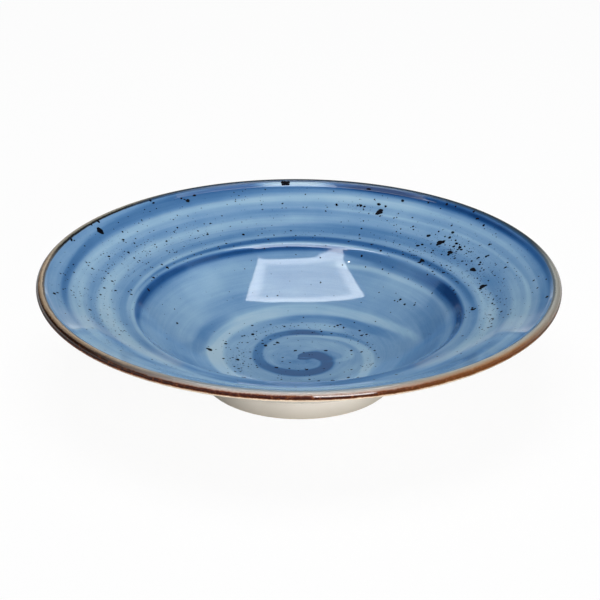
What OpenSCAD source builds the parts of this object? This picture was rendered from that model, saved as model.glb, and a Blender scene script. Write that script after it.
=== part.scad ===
// Wide-rimmed pasta bowl in glazed stoneware, turned about the Z axis.
// The origin is the middle of the foot, on the table. All lengths are in millimetres.
//
// The bowl is one fired body and four coats of glaze. The finished surface is drawn as
// four runs of corner points, each rounded by its own radius:
//   top run      middle of the floor, up the well, over the ridge, out to the brown band
//   lip run      round the nose of the lip
//   under run    back under the rim, down the outside of the well, down the foot
//   recess run   inside the foot ring, to the middle
// A coat of glaze fills the space between its run and the same run moved in by the
// thickness of the glaze. The body fills everything inside the moved runs.

/* [Whole bowl] */
// Diameter across the outside of the lip
rim_d = 275; // [250:1:310]
// Height from the table to the top of the lip
bowl_h = 58.2; // [53:0.2:66]

/* [Well] */
// Diameter across the ridge where the rim meets the well
ridge_d = 173.2; // [150:0.2:200]
// Height of the ridge above the table, at the corner before it is rounded
ridge_h = 39.6; // [33:0.1:43]
// Radius that rounds the ridge
ridge_bend_r = 4.5; // [2:0.5:8]
// Diameter of the floor, at the corner before it is rounded
floor_d = 114; // [104:0.5:122]
// Height of the floor above the table
floor_h = 11.3; // [9:0.1:14]
// Radius of the wide bend between the floor and the wall
floor_bend_r = 82; // [40:1:90]
// Thickness of the wall of the well, glaze included
wall_t = 5; // [4:0.1:6.5]

/* [Rim and lip] */
// Radius of the wide bend halfway along the rim, where it turns up more steeply
rim_bend_r = 85; // [40:1:95]
// Thickness of the round bead that forms the lip, glaze included
lip_t = 5.4; // [4.6:0.1:7]
// Slope of the short rise from the rim to the top of the bead
lip_slope = 40; // [32:1:50]
// Width of that rise, from the rim's surface to the round of the bead
lip_rise_w = 2.4; // [1.5:0.1:4]
// Radius of the hollow where the rise begins
lip_root_r = 3; // [1:0.5:5]
// Radius of the hollow under the rim, behind the ridge
under_ridge_r = 10; // [4:0.5:16]

/* [Foot] */
// Outer diameter of the foot ring
foot_d = 102; // [92:1:112]
// Width of the foot ring
foot_w = 4.6; // [3:0.1:8]
// Height of the outer side of the foot, up to the wall
foot_side_h = 9.8; // [8:0.1:11]
// Slope of the outside of the well next to the foot
under_slope = 24; // [18:1:28]
// Radius of the wide bend in the outside of the well
under_bend_r = 87; // [40:1:95]
// Depth of the recess inside the foot ring
recess_h = 5.4; // [4:0.1:6.5]
// Radius of the hollow between the foot and the wall
foot_fillet_r = 3; // [1:0.5:5]
// Radius of the hollow inside the foot ring
recess_fillet_r = 1.6; // [0.5:0.1:2]
// Radius that softens the two bare edges the bowl stands on
foot_round = 0.5; // [0.3:0.1:0.6]

/* [Glaze] */
// Thickness of every coat of glaze
glaze_t = 0.4; // [0.2:0.05:0.6]
// Width of the brown band on the rise, inside the round of the bead
band_in = 0.3; // [0.2:0.1:0.8]
// Width of the brown band under the rim, inside the round of the bead
band_out = 0.6; // [0.4:0.1:4]
// Height of the bare clay at the bottom of the foot
bare_h = 0.7; // [0.6:0.1:1.5]

/* [Hidden] */

// Corners that the round of the bead is drawn from
nose_corners = 3;
// Place of the bend in the rim, from the ridge to the foot of the rise at the lip
rim_bend_out_share = 0.4;
rim_bend_up_share = 0.261;
// Share of an edge that the roundings of its two ends may take together
room_share = 0.98;
// Largest turn of one straight step in a rounded corner, in degrees
arc_step = 4;
// Flats around the bowl
$fn = 240;

// Direction at a slope above level, and the direction square to it, upwards
function along(slope) = [cos(slope), sin(slope)];
function upright(slope) = [-sin(slope), cos(slope)];
// Slope of the straight line from p to q
function slope_of(p, q) = atan2(q.y - p.y, q.x - p.x);
// Point where the line through p meets the line through q, each at its own slope
function meeting(p, slope_p, q, slope_q) =
    p + ((q - p) * upright(slope_q)) / (along(slope_p) * upright(slope_q)) * along(slope_p);

lip_r = lip_t / 2;
foot_r = foot_d / 2;

// Corners of the finished section, from the middle of the floor outwards
floor_middle = [0, floor_h];
floor_edge = [floor_d / 2, floor_h];
ridge = [ridge_d / 2, ridge_h];
wall_slope = slope_of(floor_edge, ridge);
lip_middle = [rim_d / 2 - lip_r, bowl_h - lip_r];
lip_start = lip_middle + lip_r * upright(lip_slope);
lip_root = lip_start - lip_rise_w * along(lip_slope);
band_start = lip_start - band_in * along(lip_slope);

// The rim is a little flatter next to the ridge than next to the lip
rim_bend = [
    ridge.x + (lip_root.x - ridge.x) * rim_bend_out_share,
    ridge.y + (lip_root.y - ridge.y) * rim_bend_up_share
];
inner_slope = slope_of(ridge, rim_bend);
rim_slope = slope_of(rim_bend, lip_root);
lip_end = lip_middle - lip_r * upright(rim_slope);
band_end = lip_end - band_out * along(rim_slope);

// Corners round the bead, equally spaced, from the rise to the underside
nose_turn = (180 + lip_slope - rim_slope) / nose_corners;
nose = [
    for (k = [0 : nose_corners - 1])
        let (middle = 90 + lip_slope - nose_turn * (k + 1 / 2))
        lip_middle + lip_r / cos(nose_turn / 2) * along(middle)
];

// Corners of the underside of the rim, which keeps the thickness that it has at the lip
rim_t = (lip_root - lip_end) * upright(rim_slope);
rim_underside = rim_bend - rim_t * upright(inner_slope);
under_rim_bend = meeting(lip_end, rim_slope, rim_underside, inner_slope);

// Corners of the outside of the well, a wall's thickness from the inside
wall_outside = ridge - wall_t * upright(wall_slope);
under_ridge = meeting(wall_outside, wall_slope, rim_underside, inner_slope);
foot_shoulder = [foot_r, foot_side_h];
under_bend = meeting(wall_outside, wall_slope, foot_shoulder, under_slope);
foot_glaze_end = [foot_r, bare_h];
recess_glaze_end = [foot_r - foot_w, bare_h];
recess_corner = [foot_r - foot_w, recess_h];
recess_middle = [0, recess_h];

// The four runs, with the radius wanted at each corner
top_run = [floor_middle, floor_edge, ridge, rim_bend, lip_root, band_start];
top_bends = [0, floor_bend_r, ridge_bend_r, rim_bend_r, lip_root_r, 0];
lip_run = [band_start, each nose, band_end];
lip_bends = [0, each [for (corner = nose) lip_r], 0];
under_run = [band_end, under_rim_bend, under_ridge, under_bend, foot_shoulder, foot_glaze_end];
under_bends = [0, rim_bend_r + rim_t, under_ridge_r, under_bend_r, foot_fillet_r, 0];
recess_run = [recess_glaze_end, recess_corner, recess_middle];
recess_bends = [0, recess_fillet_r, 0];

// Angle that a run turns through at corner i: positive to the left, 0 at the two ends
function turn_at(run, i) =
    i == 0 || i == len(run) - 1 ? 0 :
    let (turn = slope_of(run[i], run[i + 1]) - slope_of(run[i - 1], run[i]))
    turn > 180 ? turn - 360 : turn < -180 ? turn + 360 : turn;

// Length of edge that the rounding of corner i takes on each side
function reach(run, bends, i) = bends[i] * tan(abs(turn_at(run, i)) / 2);
// Share of the wanted roundings that fits on the edge between corners i and j
function room(run, bends, i, j) =
    let (wanted = reach(run, bends, i) + reach(run, bends, j))
    wanted == 0 ? 1 : min(1, room_share * norm(run[j] - run[i]) / wanted);
// The wanted radii, each cut down where a neighbouring edge is too short for it
function fitted(run, bends) = [
    for (i = [0 : len(run) - 1])
        turn_at(run, i) == 0 ? 0 :
        bends[i] * min(room(run, bends, i - 1, i), room(run, bends, i, i + 1))
];

// The run with each corner replaced by an arc of its radius
function rounded(run, radii) = [
    for (i = [0 : len(run) - 1])
        let (turn = turn_at(run, i))
        each turn == 0 || radii[i] <= 0 ? [run[i]] :
            let (
                slope = slope_of(run[i - 1], run[i]),
                side = sign(turn),
                start = run[i] - radii[i] * tan(abs(turn) / 2) * along(slope),
                centre = start + side * radii[i] * upright(slope),
                steps = ceil(abs(turn) / arc_step)
            )
            [for (k = [0 : steps]) centre - side * radii[i] * upright(slope + turn * k / steps)]
];

// The run moved to its right by a distance, which is into the body for all four runs
function moved_in(run, distance) = [
    for (i = [0 : len(run) - 1])
        let (
            turn = turn_at(run, i),
            slope = i == 0 ? slope_of(run[0], run[1]) : slope_of(run[i - 1], run[i])
        )
        run[i] - distance / cos(turn / 2) * upright(slope + turn / 2)
];

// A corner that turns left gets a larger radius on the moved run, one to the right a smaller
function radii_moved_in(run, radii, distance) = [
    for (i = [0 : len(run) - 1])
        radii[i] == 0 ? 0 : max(0, radii[i] + sign(turn_at(run, i)) * distance)
];

function finished(run, bends) = rounded(run, fitted(run, bends));
function under_glaze(run, bends) =
    rounded(moved_in(run, glaze_t), radii_moved_in(run, fitted(run, bends), glaze_t));
function backwards(points) = [for (i = [len(points) - 1 : -1 : 0]) points[i]];
function after_first(points) = [for (i = [1 : len(points) - 1]) points[i]];

// The bare foot, from where the outer glaze stops to where the recess glaze stops
foot_run = [
    foot_glaze_end - [glaze_t, 0],
    [foot_r - glaze_t, 0],
    [foot_r - foot_w + glaze_t, 0],
    recess_glaze_end + [glaze_t, 0]
];
foot_bends = [0, foot_round, foot_round, 0];

module coat(run, bends) {
    rotate_extrude()
        polygon(concat(finished(run, bends), backwards(under_glaze(run, bends))));
}

module stoneware_body() {
    color("#cdbb9f")
        rotate_extrude()
            polygon(concat(
                under_glaze(top_run, top_bends),
                after_first(under_glaze(lip_run, lip_bends)),
                after_first(under_glaze(under_run, under_bends)),
                after_first(finished(foot_run, foot_bends)),
                after_first(under_glaze(recess_run, recess_bends))
            ));
}

module blue_top_glaze() {
    color("#7398c2")
        coat(top_run, top_bends);
}

module brown_lip_glaze() {
    color("#7a5238")
        coat(lip_run, lip_bends);
}

module cream_underside_glaze() {
    color("#e3dccd")
        coat(under_run, under_bends);
}

module foot_recess_glaze() {
    color("#ded6c6")
        coat(recess_run, recess_bends);
}

stoneware_body();
blue_top_glaze();
brown_lip_glaze();
cream_underside_glaze();
foot_recess_glaze();
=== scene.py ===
# %% [markdown]
# # A wide-rimmed pasta bowl, glazed blue over stoneware
# The real bowl is one body of pale stoneware, pressed and turned, with four coats of glaze.
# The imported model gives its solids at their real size. This lesson keeps the clay body as it
# is and makes each coat again as a finer mesh, because a glossy glaze shows every flat.
# The bowl's lengths are written in millimetres and become metres where Blender gets them. The
# lamps and the paper under the bowl are given in metres.

# %% Load the fixed frame
import math

import bmesh
import bpy
import numpy as np
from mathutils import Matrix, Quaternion, Vector
from mathutils.bvhtree import BVHTree


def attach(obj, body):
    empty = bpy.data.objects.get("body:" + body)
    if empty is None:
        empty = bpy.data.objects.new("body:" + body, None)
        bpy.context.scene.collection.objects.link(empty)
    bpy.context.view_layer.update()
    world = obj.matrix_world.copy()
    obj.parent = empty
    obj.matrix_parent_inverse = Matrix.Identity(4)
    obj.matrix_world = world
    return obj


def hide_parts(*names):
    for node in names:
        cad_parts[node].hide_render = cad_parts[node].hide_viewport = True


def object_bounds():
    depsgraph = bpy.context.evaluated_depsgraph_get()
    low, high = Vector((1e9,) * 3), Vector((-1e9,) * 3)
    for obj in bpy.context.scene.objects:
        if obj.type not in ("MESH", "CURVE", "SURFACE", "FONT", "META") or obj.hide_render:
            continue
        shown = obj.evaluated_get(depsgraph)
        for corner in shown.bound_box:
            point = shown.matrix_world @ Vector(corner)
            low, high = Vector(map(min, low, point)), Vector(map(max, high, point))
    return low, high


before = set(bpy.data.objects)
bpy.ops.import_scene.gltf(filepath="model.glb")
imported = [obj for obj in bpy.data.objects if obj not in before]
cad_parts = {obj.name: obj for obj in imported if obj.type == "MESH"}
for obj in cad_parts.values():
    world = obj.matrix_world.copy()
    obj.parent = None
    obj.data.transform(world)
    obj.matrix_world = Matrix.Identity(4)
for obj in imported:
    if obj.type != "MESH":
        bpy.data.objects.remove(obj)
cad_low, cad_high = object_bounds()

MM = 0.001
# The lip is rounder here than in the CAD, so it is set a little lower to fit the same box
lip_lowered = 0.02
rim_r = min(cad_high.x, cad_high.y, -cad_low.x, -cad_low.y) / MM
bowl_h = cad_high.z / MM - lip_lowered
print("CAD nodes:", sorted(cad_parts))
print("The bowl is %.1f mm across and %.1f mm high" % (2 * rim_r, bowl_h))

# %% [markdown]
# ## Two small helpers
# Colours are written as a person picks them, as sRGB hex values. Light adds up only in linear
# values, so one function turns them. The other adds one node with its settings and links, for
# materials, lamps and Geometry Nodes alike, so that a tree reads as a list of its nodes.

# %% Colour and node helpers
def linear(hex_colour):
    """An sRGB hex colour as the linear values that a shader works with."""
    parts = [int(hex_colour[i:i + 2], 16) / 255 for i in (1, 3, 5)]
    return [p / 12.92 if p <= 0.04045 else ((p + 0.055) / 1.055) ** 2.4 for p in parts] + [1.0]


def add(tree, kind, inputs=None, stops=(), **settings):
    """Add one node. An input is a value, a socket, or a node that stands for its first output.

    The stops are those of a colour ramp: positions from 0 to 1, with sRGB hex colours.
    """
    node = tree.nodes.new(kind)
    for name, value in settings.items():
        setattr(node, name, value)
    for key, value in (inputs or {}).items():
        if isinstance(value, bpy.types.Node):
            value = value.outputs[0]
        if isinstance(value, bpy.types.NodeSocket):
            tree.links.new(value, node.inputs[key])
        else:
            node.inputs[key].default_value = value
    for i, (position, colour) in enumerate(stops):
        elements = node.color_ramp.elements
        if i == 0:
            elements.remove(elements[1])
            elements[0].position = position
        stop = elements[0] if i == 0 else elements.new(position)
        stop.color = linear(colour)
    return node


print("Mid blue #6f96bf is %.3f %.3f %.3f in linear light" % tuple(linear("#6f96bf")[:3]))

# %% [markdown]
# ## The section
# Everything on a turned bowl follows from half of its section. Corner points are joined by
# straight lines and each corner is rounded by its own radius, as a drawing for a pressing
# mould would show it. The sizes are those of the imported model. A name that ends in _r is a
# radius, _h a height above the table, _t a thickness and _w a width.

# %% Sizes of the section
# The ridge between the well and the rim, and the bend halfway along the rim
ridge_r, ridge_h, ridge_bend_r = 86.6, 39.6, 4.5
rim_bend_out_share, rim_bend_up_share, rim_bend_r = 0.4, 0.261, 85.0
# The floor, the wall of the well, and its outside
floor_r, floor_h, floor_bend_r = 57.0, 11.3, 82.0
wall_t, under_ridge_r, under_slope, under_bend_r = 5.0, 10.0, 24.0, 87.0
# The round bead of the lip, drawn from three corners, and the short rise to it
lip_t, lip_slope, lip_rise_w, lip_root_r, nose_corners = 5.4, 40.0, 2.4, 3.0, 3
# The foot ring, its recess, and the bare clay at the bottom of both
foot_r, foot_w, foot_side_h, foot_fillet_r, bare_h = 51.0, 4.6, 9.8, 3.0, 0.7
recess_h, recess_fillet_r = 5.4, 1.6
# The glaze, and how far its brown band reaches past the bead inside and outside
glaze_t, band_in, band_out = 0.4, 0.3, 0.6
# Share of an edge that the roundings of its two ends may take together
room_share = 0.98
# Points nearer to each other than this are one point, and so near to the axis they lie on it
same_within = 0.0001
print("The rim is %.1f mm wide from the ridge to the outside" % (rim_r - ridge_r))


# %% Directions, and where two lines meet
def along(slope):
    """Direction of a line that rises at a slope, in degrees."""
    a = math.radians(slope)
    return np.array([math.cos(a), math.sin(a)])


def upright(slope):
    """Direction square to that line, upwards."""
    return along(slope + 90)


def slope_of(p, q):
    """Slope of the line from p to q."""
    return math.degrees(math.atan2(q[1] - p[1], q[0] - p[0]))


def meeting(p, slope_p, q, slope_q):
    """Where the line through p meets the line through q, each at its own slope."""
    share = (q - p) @ upright(slope_q) / (along(slope_p) @ upright(slope_q))
    return p + share * along(slope_p)


print("A slope of 30 degrees runs along", along(30).round(3))

# %% Corners of the section
floor_edge = np.array([floor_r, floor_h])
ridge = np.array([ridge_r, ridge_h])
lip_r = lip_t / 2
lip_middle = np.array([rim_r - lip_r, bowl_h - lip_r])
lip_start = lip_middle + lip_r * upright(lip_slope)
lip_root = lip_start - lip_rise_w * along(lip_slope)
band_start = lip_start - band_in * along(lip_slope)
rim_bend = ridge + (lip_root - ridge) * [rim_bend_out_share, rim_bend_up_share]
wall_slope = slope_of(floor_edge, ridge)
inner_slope = slope_of(ridge, rim_bend)
rim_slope = slope_of(rim_bend, lip_root)
lip_end = lip_middle - lip_r * upright(rim_slope)
band_end = lip_end - band_out * along(rim_slope)
nose_turn = (180 + lip_slope - rim_slope) / nose_corners
nose = [lip_middle + lip_r / math.cos(math.radians(nose_turn / 2))
        * along(90 + lip_slope - nose_turn * (k + 0.5)) for k in range(nose_corners)]
rim_t = (lip_root - lip_end) @ upright(rim_slope)
rim_underside = rim_bend - rim_t * upright(inner_slope)
under_rim_bend = meeting(lip_end, rim_slope, rim_underside, inner_slope)
wall_outside = ridge - wall_t * upright(wall_slope)
under_ridge = meeting(wall_outside, wall_slope, rim_underside, inner_slope)
foot_shoulder = np.array([foot_r, foot_side_h])
under_bend = meeting(wall_outside, wall_slope, foot_shoulder, under_slope)
foot_in_r = foot_r - foot_w
print("Slopes: wall %.1f, rim %.1f, then %.1f at the lip" % (wall_slope, inner_slope, rim_slope))

# %% [markdown]
# ## From corners to a smooth line
# An arc that touches both lines replaces each corner. The lower side of a coat is the same
# run moved in by the thickness of the glaze, so a bend to the left gets a larger radius there
# and a bend to the right a smaller one. A Bevel modifier on a profile would round the corners
# as well, but only by one width. The line is then cut into short equal steps, because a
# mirror-like glaze shows any step in the slope.

# %% Round the corners
def turn_at(run, i):
    """Angle that the run turns through at corner i, positive to the left."""
    if i in (0, len(run) - 1):
        return 0.0
    turn = slope_of(run[i], run[i + 1]) - slope_of(run[i - 1], run[i])
    return (turn + 180) % 360 - 180


def fitted(run, bends):
    """The wanted radii, each cut down where a neighbouring edge is too short for it."""
    reach = [bends[i] * math.tan(math.radians(abs(turn_at(run, i))) / 2) for i in range(len(run))]

    def room(i, j):
        """Share of the wanted roundings that fits on the edge between corners i and j."""
        wanted = reach[i] + reach[j]
        return 1.0 if wanted == 0 else min(1.0, room_share * math.dist(run[i], run[j]) / wanted)

    return [bends[i] * min(room(i - 1, i), room(i, i + 1)) if turn_at(run, i) else 0.0
            for i in range(len(run))]


def rounded(run, radii, arc_step=0.05):
    """The run with each corner replaced by an arc, in steps of so many degrees."""
    points = []
    for i, corner in enumerate(run):
        turn = turn_at(run, i)
        if turn == 0 or radii[i] <= 0:
            points.append(corner)
            continue
        slope, side = slope_of(run[i - 1], run[i]), math.copysign(1, turn)
        start = corner - radii[i] * math.tan(math.radians(abs(turn)) / 2) * along(slope)
        centre = start + side * radii[i] * upright(slope)
        for turned in np.linspace(0, turn, math.ceil(abs(turn) / arc_step) + 1):
            points.append(centre - side * radii[i] * upright(slope + turned))
    return np.array(points)


square = ([np.array([0, 0]), np.array([50, 0]), np.array([50, 50])], [0, 10, 0])
print("A square corner with a radius of 10 mm gets", len(rounded(*square)) - 2, "points")


# %% Move a run into the clay, and cut a line into even steps
def moved_in(run, radii, distance):
    """The run moved to its right by a distance, with the radii that it has there."""
    moved = []
    for i, corner in enumerate(run):
        turn = turn_at(run, i)
        slope = slope_of(run[0], run[1]) if i == 0 else slope_of(run[i - 1], run[i])
        out = distance / math.cos(math.radians(turn / 2)) * upright(slope + turn / 2)
        moved.append(np.array(corner) - out)
    inner = [r and max(0.0, r + math.copysign(distance, turn_at(run, i)))
             for i, r in enumerate(radii)]
    return moved, inner


def cut_evenly(line, step):
    """The line cut into equal steps, with the distance along it of each point."""
    reach = np.r_[0, np.cumsum(np.hypot(*np.diff(line, axis=0).T))]
    marks = np.linspace(0, reach[-1], max(2, round(reach[-1] / step) + 1))
    return np.stack([np.interp(marks, reach, line[:, k]) for k in (0, 1)], -1), marks


print("Moved in by 1 mm, that corner has a radius of", moved_in(*square, 1)[1][1], "mm")

# %% The four runs of the finished surface, with the radius wanted at each corner
top_run = ([np.array([0, floor_h]), floor_edge, ridge, rim_bend, lip_root, band_start],
           [0, floor_bend_r, ridge_bend_r, rim_bend_r, lip_root_r, 0])
lip_run = ([band_start, *nose, band_end], [0, *[lip_r] * nose_corners, 0])
under_run = ([band_end, under_rim_bend, under_ridge, under_bend, foot_shoulder,
              np.array([foot_r, bare_h])],
             [0, rim_bend_r + rim_t, under_ridge_r, under_bend_r, foot_fillet_r, 0])
recess_run = ([np.array([foot_in_r, bare_h]), np.array([foot_in_r, recess_h]),
               np.array([0, recess_h])], [0, recess_fillet_r, 0])
top_line, top_marks = cut_evenly(rounded(top_run[0], fitted(*top_run)), 0.25)
print("The blue side is %.1f mm long from the middle to the brown band" % top_marks[-1])


# %% The section of one coat
def coat_section(run, bends, step, clay_step):
    """Points round one coat: the finished side in steps, then the clay's side in its own.

    Each point of the finished side has its distance along that side. A coat whose run ends
    at the axis is listed from there, so that its other end gets closed.
    """
    radii = fitted(run, bends)
    outside, marks = cut_evenly(rounded(run, radii), step)
    clay_side, _ = cut_evenly(rounded(*moved_in(run, radii, glaze_t)), clay_step)
    section = np.r_[outside, clay_side[::-1]]
    marks = np.r_[marks, -np.ones(len(clay_side))]
    on_axis = np.flatnonzero(section[:, 0] < same_within)
    if len(on_axis) and on_axis[0] > 0:
        section = np.roll(section, -on_axis[-1], axis=0)
        marks = np.roll(marks, -on_axis[-1])
    return section, marks, len(on_axis) > 0


print("The lip's section has", len(coat_section(*lip_run, 0.2, 0.4)[0]), "points")

# %% [markdown]
# ## Turning on the wheel
# A Screw modifier or a spin in a script could turn the clay. A small Geometry Nodes tree does
# the same with named inputs: it makes a grid, gives each row of it one point of the section,
# turns each column by its share of a full circle, and merges the seam and the pole. It also
# carries the distance along the section, so that a band of colour can follow the surface.

# %% A tree with named inputs
def new_tree(name, sockets):
    """An empty Geometry Nodes tree with a geometry input and output and named inputs."""
    tree = bpy.data.node_groups.new(name, "GeometryNodeTree")
    tree.interface.new_socket("Geometry", in_out="OUTPUT", socket_type="NodeSocketGeometry")
    tree.interface.new_socket("Geometry", in_out="INPUT", socket_type="NodeSocketGeometry")
    for label, kind in sockets.items():
        tree.interface.new_socket(label, in_out="INPUT", socket_type=kind)
    return tree


wheel = new_tree("Turned on the wheel", {
    "Flats Around": "NodeSocketInt", "Rows": "NodeSocketInt", "Glaze": "NodeSocketMaterial"})
given = add(wheel, "NodeGroupInput").outputs
print(wheel.name, "takes", [item.name for item in wheel.interface.items_tree][1:])

# %% Row and column of each point of the grid
columns = add(wheel, "ShaderNodeMath", {0: given["Flats Around"], 1: 1.0}, operation="ADD")
grid = add(wheel, "GeometryNodeMeshGrid", {"Vertices X": given["Rows"], "Vertices Y": columns})
index = add(wheel, "GeometryNodeInputIndex")
row_share = add(wheel, "ShaderNodeMath", {0: index, 1: columns}, operation="DIVIDE")
row = add(wheel, "ShaderNodeMath", {0: row_share}, operation="FLOOR")
column = add(wheel, "ShaderNodeMath", {0: index, 1: columns}, operation="MODULO")
section_size = add(wheel, "GeometryNodeAttributeDomainSize", {"Geometry": given["Geometry"]})
corner = add(wheel, "ShaderNodeMath", {0: row, 1: section_size.outputs["Point Count"]},
             operation="MODULO")
print("Rows, columns and corners take", len(wheel.nodes), "nodes")

# %% The corner's place and distance along the section, turned to the column's angle
corner_place = add(wheel, "GeometryNodeSampleIndex", {
    "Geometry": given["Geometry"], "Value": add(wheel, "GeometryNodeInputPosition"),
    "Index": corner}, data_type="FLOAT_VECTOR", domain="POINT")
marks_in = add(wheel, "GeometryNodeInputNamedAttribute", {"Name": "along"}, data_type="FLOAT")
corner_mark = add(wheel, "GeometryNodeSampleIndex", {
    "Geometry": given["Geometry"], "Value": marks_in.outputs["Attribute"], "Index": corner},
    data_type="FLOAT", domain="POINT")
circle_share = add(wheel, "ShaderNodeMath", {0: column, 1: given["Flats Around"]},
                   operation="DIVIDE")
angle = add(wheel, "ShaderNodeMath", {0: circle_share, 1: math.tau}, operation="MULTIPLY")
turned_place = add(wheel, "ShaderNodeVectorRotate", {
    "Vector": corner_place.outputs["Value"], "Angle": angle}, rotation_type="Z_AXIS")
print("With the turned places there are", len(wheel.nodes), "nodes")

# %% Place the grid, close it and give it its glaze
with_map = add(wheel, "GeometryNodeStoreNamedAttribute", {
    "Geometry": grid.outputs["Mesh"], "Name": "turned", "Value": grid.outputs["UV Map"]},
    data_type="FLOAT2", domain="CORNER")
with_marks = add(wheel, "GeometryNodeStoreNamedAttribute", {
    "Geometry": with_map, "Name": "along", "Value": corner_mark.outputs["Value"]},
    data_type="FLOAT", domain="POINT")
placed = add(wheel, "GeometryNodeSetPosition", {"Geometry": with_marks, "Position": turned_place})
closed = add(wheel, "GeometryNodeMergeByDistance", {
    "Geometry": placed, "Distance": same_within * MM})
smooth = add(wheel, "GeometryNodeSetShadeSmooth", {"Geometry": closed, "Shade Smooth": True})
realized = add(wheel, "GeometryNodeRealizeInstances", {"Geometry": smooth})
glazed = add(wheel, "GeometryNodeSetMaterial", {"Geometry": realized, "Material": given["Glaze"]})
add(wheel, "NodeGroupOutput", {"Geometry": glazed})
print("The wheel tree has", len(wheel.nodes), "nodes")


# %% Run a tree and keep its result as a plain mesh
def made_by(tree, name, source, values):
    """The tree's result on the source mesh, as a new object with no modifier."""
    holder = bpy.data.objects.new(name + "_source", source)
    bpy.context.scene.collection.objects.link(holder)
    modifier = holder.modifiers.new(tree.name, "NODES")
    modifier.node_group = tree
    for item in tree.interface.items_tree:
        if item.in_out == "INPUT" and item.name in values:
            modifier[item.identifier] = values[item.name]
    holder.update_tag()
    graph = bpy.context.evaluated_depsgraph_get()
    mesh = bpy.data.meshes.new_from_object(holder.evaluated_get(graph), depsgraph=graph)
    holder.modifiers.remove(modifier)
    bpy.data.objects.remove(holder)
    mesh.name = name
    piece = bpy.data.objects.new(name, mesh)
    bpy.context.scene.collection.objects.link(piece)
    return piece


# %% Turn one coat, with its faces outward
def turn_coat(name, run, material, step, clay_step, flats=384, sharp_past=40):
    """One coat of glaze as a closed shell, turned from its section."""
    section, marks, on_axis = coat_section(*run, step, clay_step)
    source = bpy.data.meshes.new(name + "_section")
    source.from_pydata([(r * MM, 0, z * MM) for r, z in section], [], [])
    source.attributes.new("along", "FLOAT", "POINT").data.foreach_set("value", marks)
    rows = len(section) if on_axis else len(section) + 1
    piece = made_by(wheel, name, source, {"Flats Around": flats, "Rows": rows, "Glaze": material})
    shell = bmesh.new()
    shell.from_mesh(piece.data)
    if shell.calc_volume(signed=True) < 0:
        bmesh.ops.reverse_faces(shell, faces=shell.faces)
    open_edges = sum(1 for edge in shell.edges if len(edge.link_faces) != 2)
    volume = shell.calc_volume(signed=True) / MM ** 3
    shell.to_mesh(piece.data)
    shell.free()
    piece.data.set_sharp_from_angle(angle=math.radians(sharp_past))
    triangles = sum(len(face.vertices) - 2 for face in piece.data.polygons)
    print("%s: %d triangles, %d open edges, %.0f mm3" % (name, triangles, open_edges, volume))
    return piece


# %% [markdown]
# ## The brush strokes
# The blue is brushed on while the bowl turns slowly, so every stroke is a spiral with soft
# edges. Each one is written as a few knots: degrees round from the front, distance from the
# middle and half width in millimetres, and strength. Positive strength is thin, pale glaze
# and negative strength is thick, dark glaze. A few pale strokes are painted highlights and
# reflections, in whole or in part, as their comments say. Between the knots the stroke runs
# smoothly. The knots are listed, and an angle past a full turn lets a spiral go round again.
# Noise wound into a spiral would be shorter to write, but it puts no stroke where the real one is.

# %% Strokes of the floor: the comma, and what lies round it
strokes = {
    "comma and inner spiral": [
        (-276, 42.5, 0.7, 0.0), (-252, 39.4, 0.9, -0.25), (-238, 37.0, 1.3, -0.35),
        (-223, 35.0, 1.8, -0.5), (-208, 32.4, 2.4, -0.9), (-194, 31.0, 2.8, -1.3),
        (-180, 30.4, 2.9, -1.35), (-165, 29.5, 2.7, -1.1), (-149, 27.9, 2.7, -0.9),
        (-129, 25.1, 2.7, -0.85), (-109, 22.7, 2.7, -0.95), (-90, 21.5, 2.9, -1.0),
        (-69, 20.8, 3.1, -1.1), (-47, 20.0, 3.3, -1.15), (-21, 19.4, 3.7, -1.25),
        (4, 19.3, 3.9, -1.35), (29, 19.2, 3.8, -1.4), (44, 18.8, 3.6, -1.4),
        (55, 17.9, 3.7, -1.4), (66, 16.5, 4.0, -1.4), (75, 15.0, 4.7, -1.4),
        (83, 13.2, 5.8, -1.4), (91, 9.6, 8.6, -1.4), (99, 8.2, 8.3, -1.4), (110, 7.3, 7.5, -1.4),
        (120, 6.4, 6.6, -1.35), (130, 5.4, 5.6, -1.3), (140, 4.2, 4.5, -1.3),
        (152, 3.0, 3.4, -1.25), (168, 1.9, 2.2, -1.2), (190, 0.9, 1.3, -0.9),
        (215, 0.5, 0.9, 0.0)],
    "end of the comma": [
        (-45, 0.4, 0.6, 0.0), (-15, 0.8, 1.1, -1.0), (13, 1.3, 1.6, -1.3), (40, 1.8, 2.1, -1.3),
        (55, 2.4, 2.6, -1.3), (71, 3.2, 3.3, -1.2), (80, 4.0, 3.9, -0.7), (88, 4.6, 4.0, 0.0)],
    "shade inside the comma": [
        (-90, 8.0, 5.0, 0.0), (-30, 9.0, 5.5, -0.25), (20, 9.0, 5.5, -0.35), (55, 8.5, 4.5, -0.5),
        (78, 7.5, 3.5, -0.2), (90, 6.0, 3.0, 0.0)],
    "pale middle": [
        (20, 9.0, 5.0, 0.0), (60, 8.0, 5.0, 0.15), (90, 26.0, 3.0, 0.35), (115, 24.0, 5.0, 0.4),
        (145, 18.0, 7.0, 0.35), (180, 14.0, 7.0, 0.2), (215, 12.0, 6.0, 0.0)],
}
print(len(strokes), "strokes round the comma")

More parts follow.
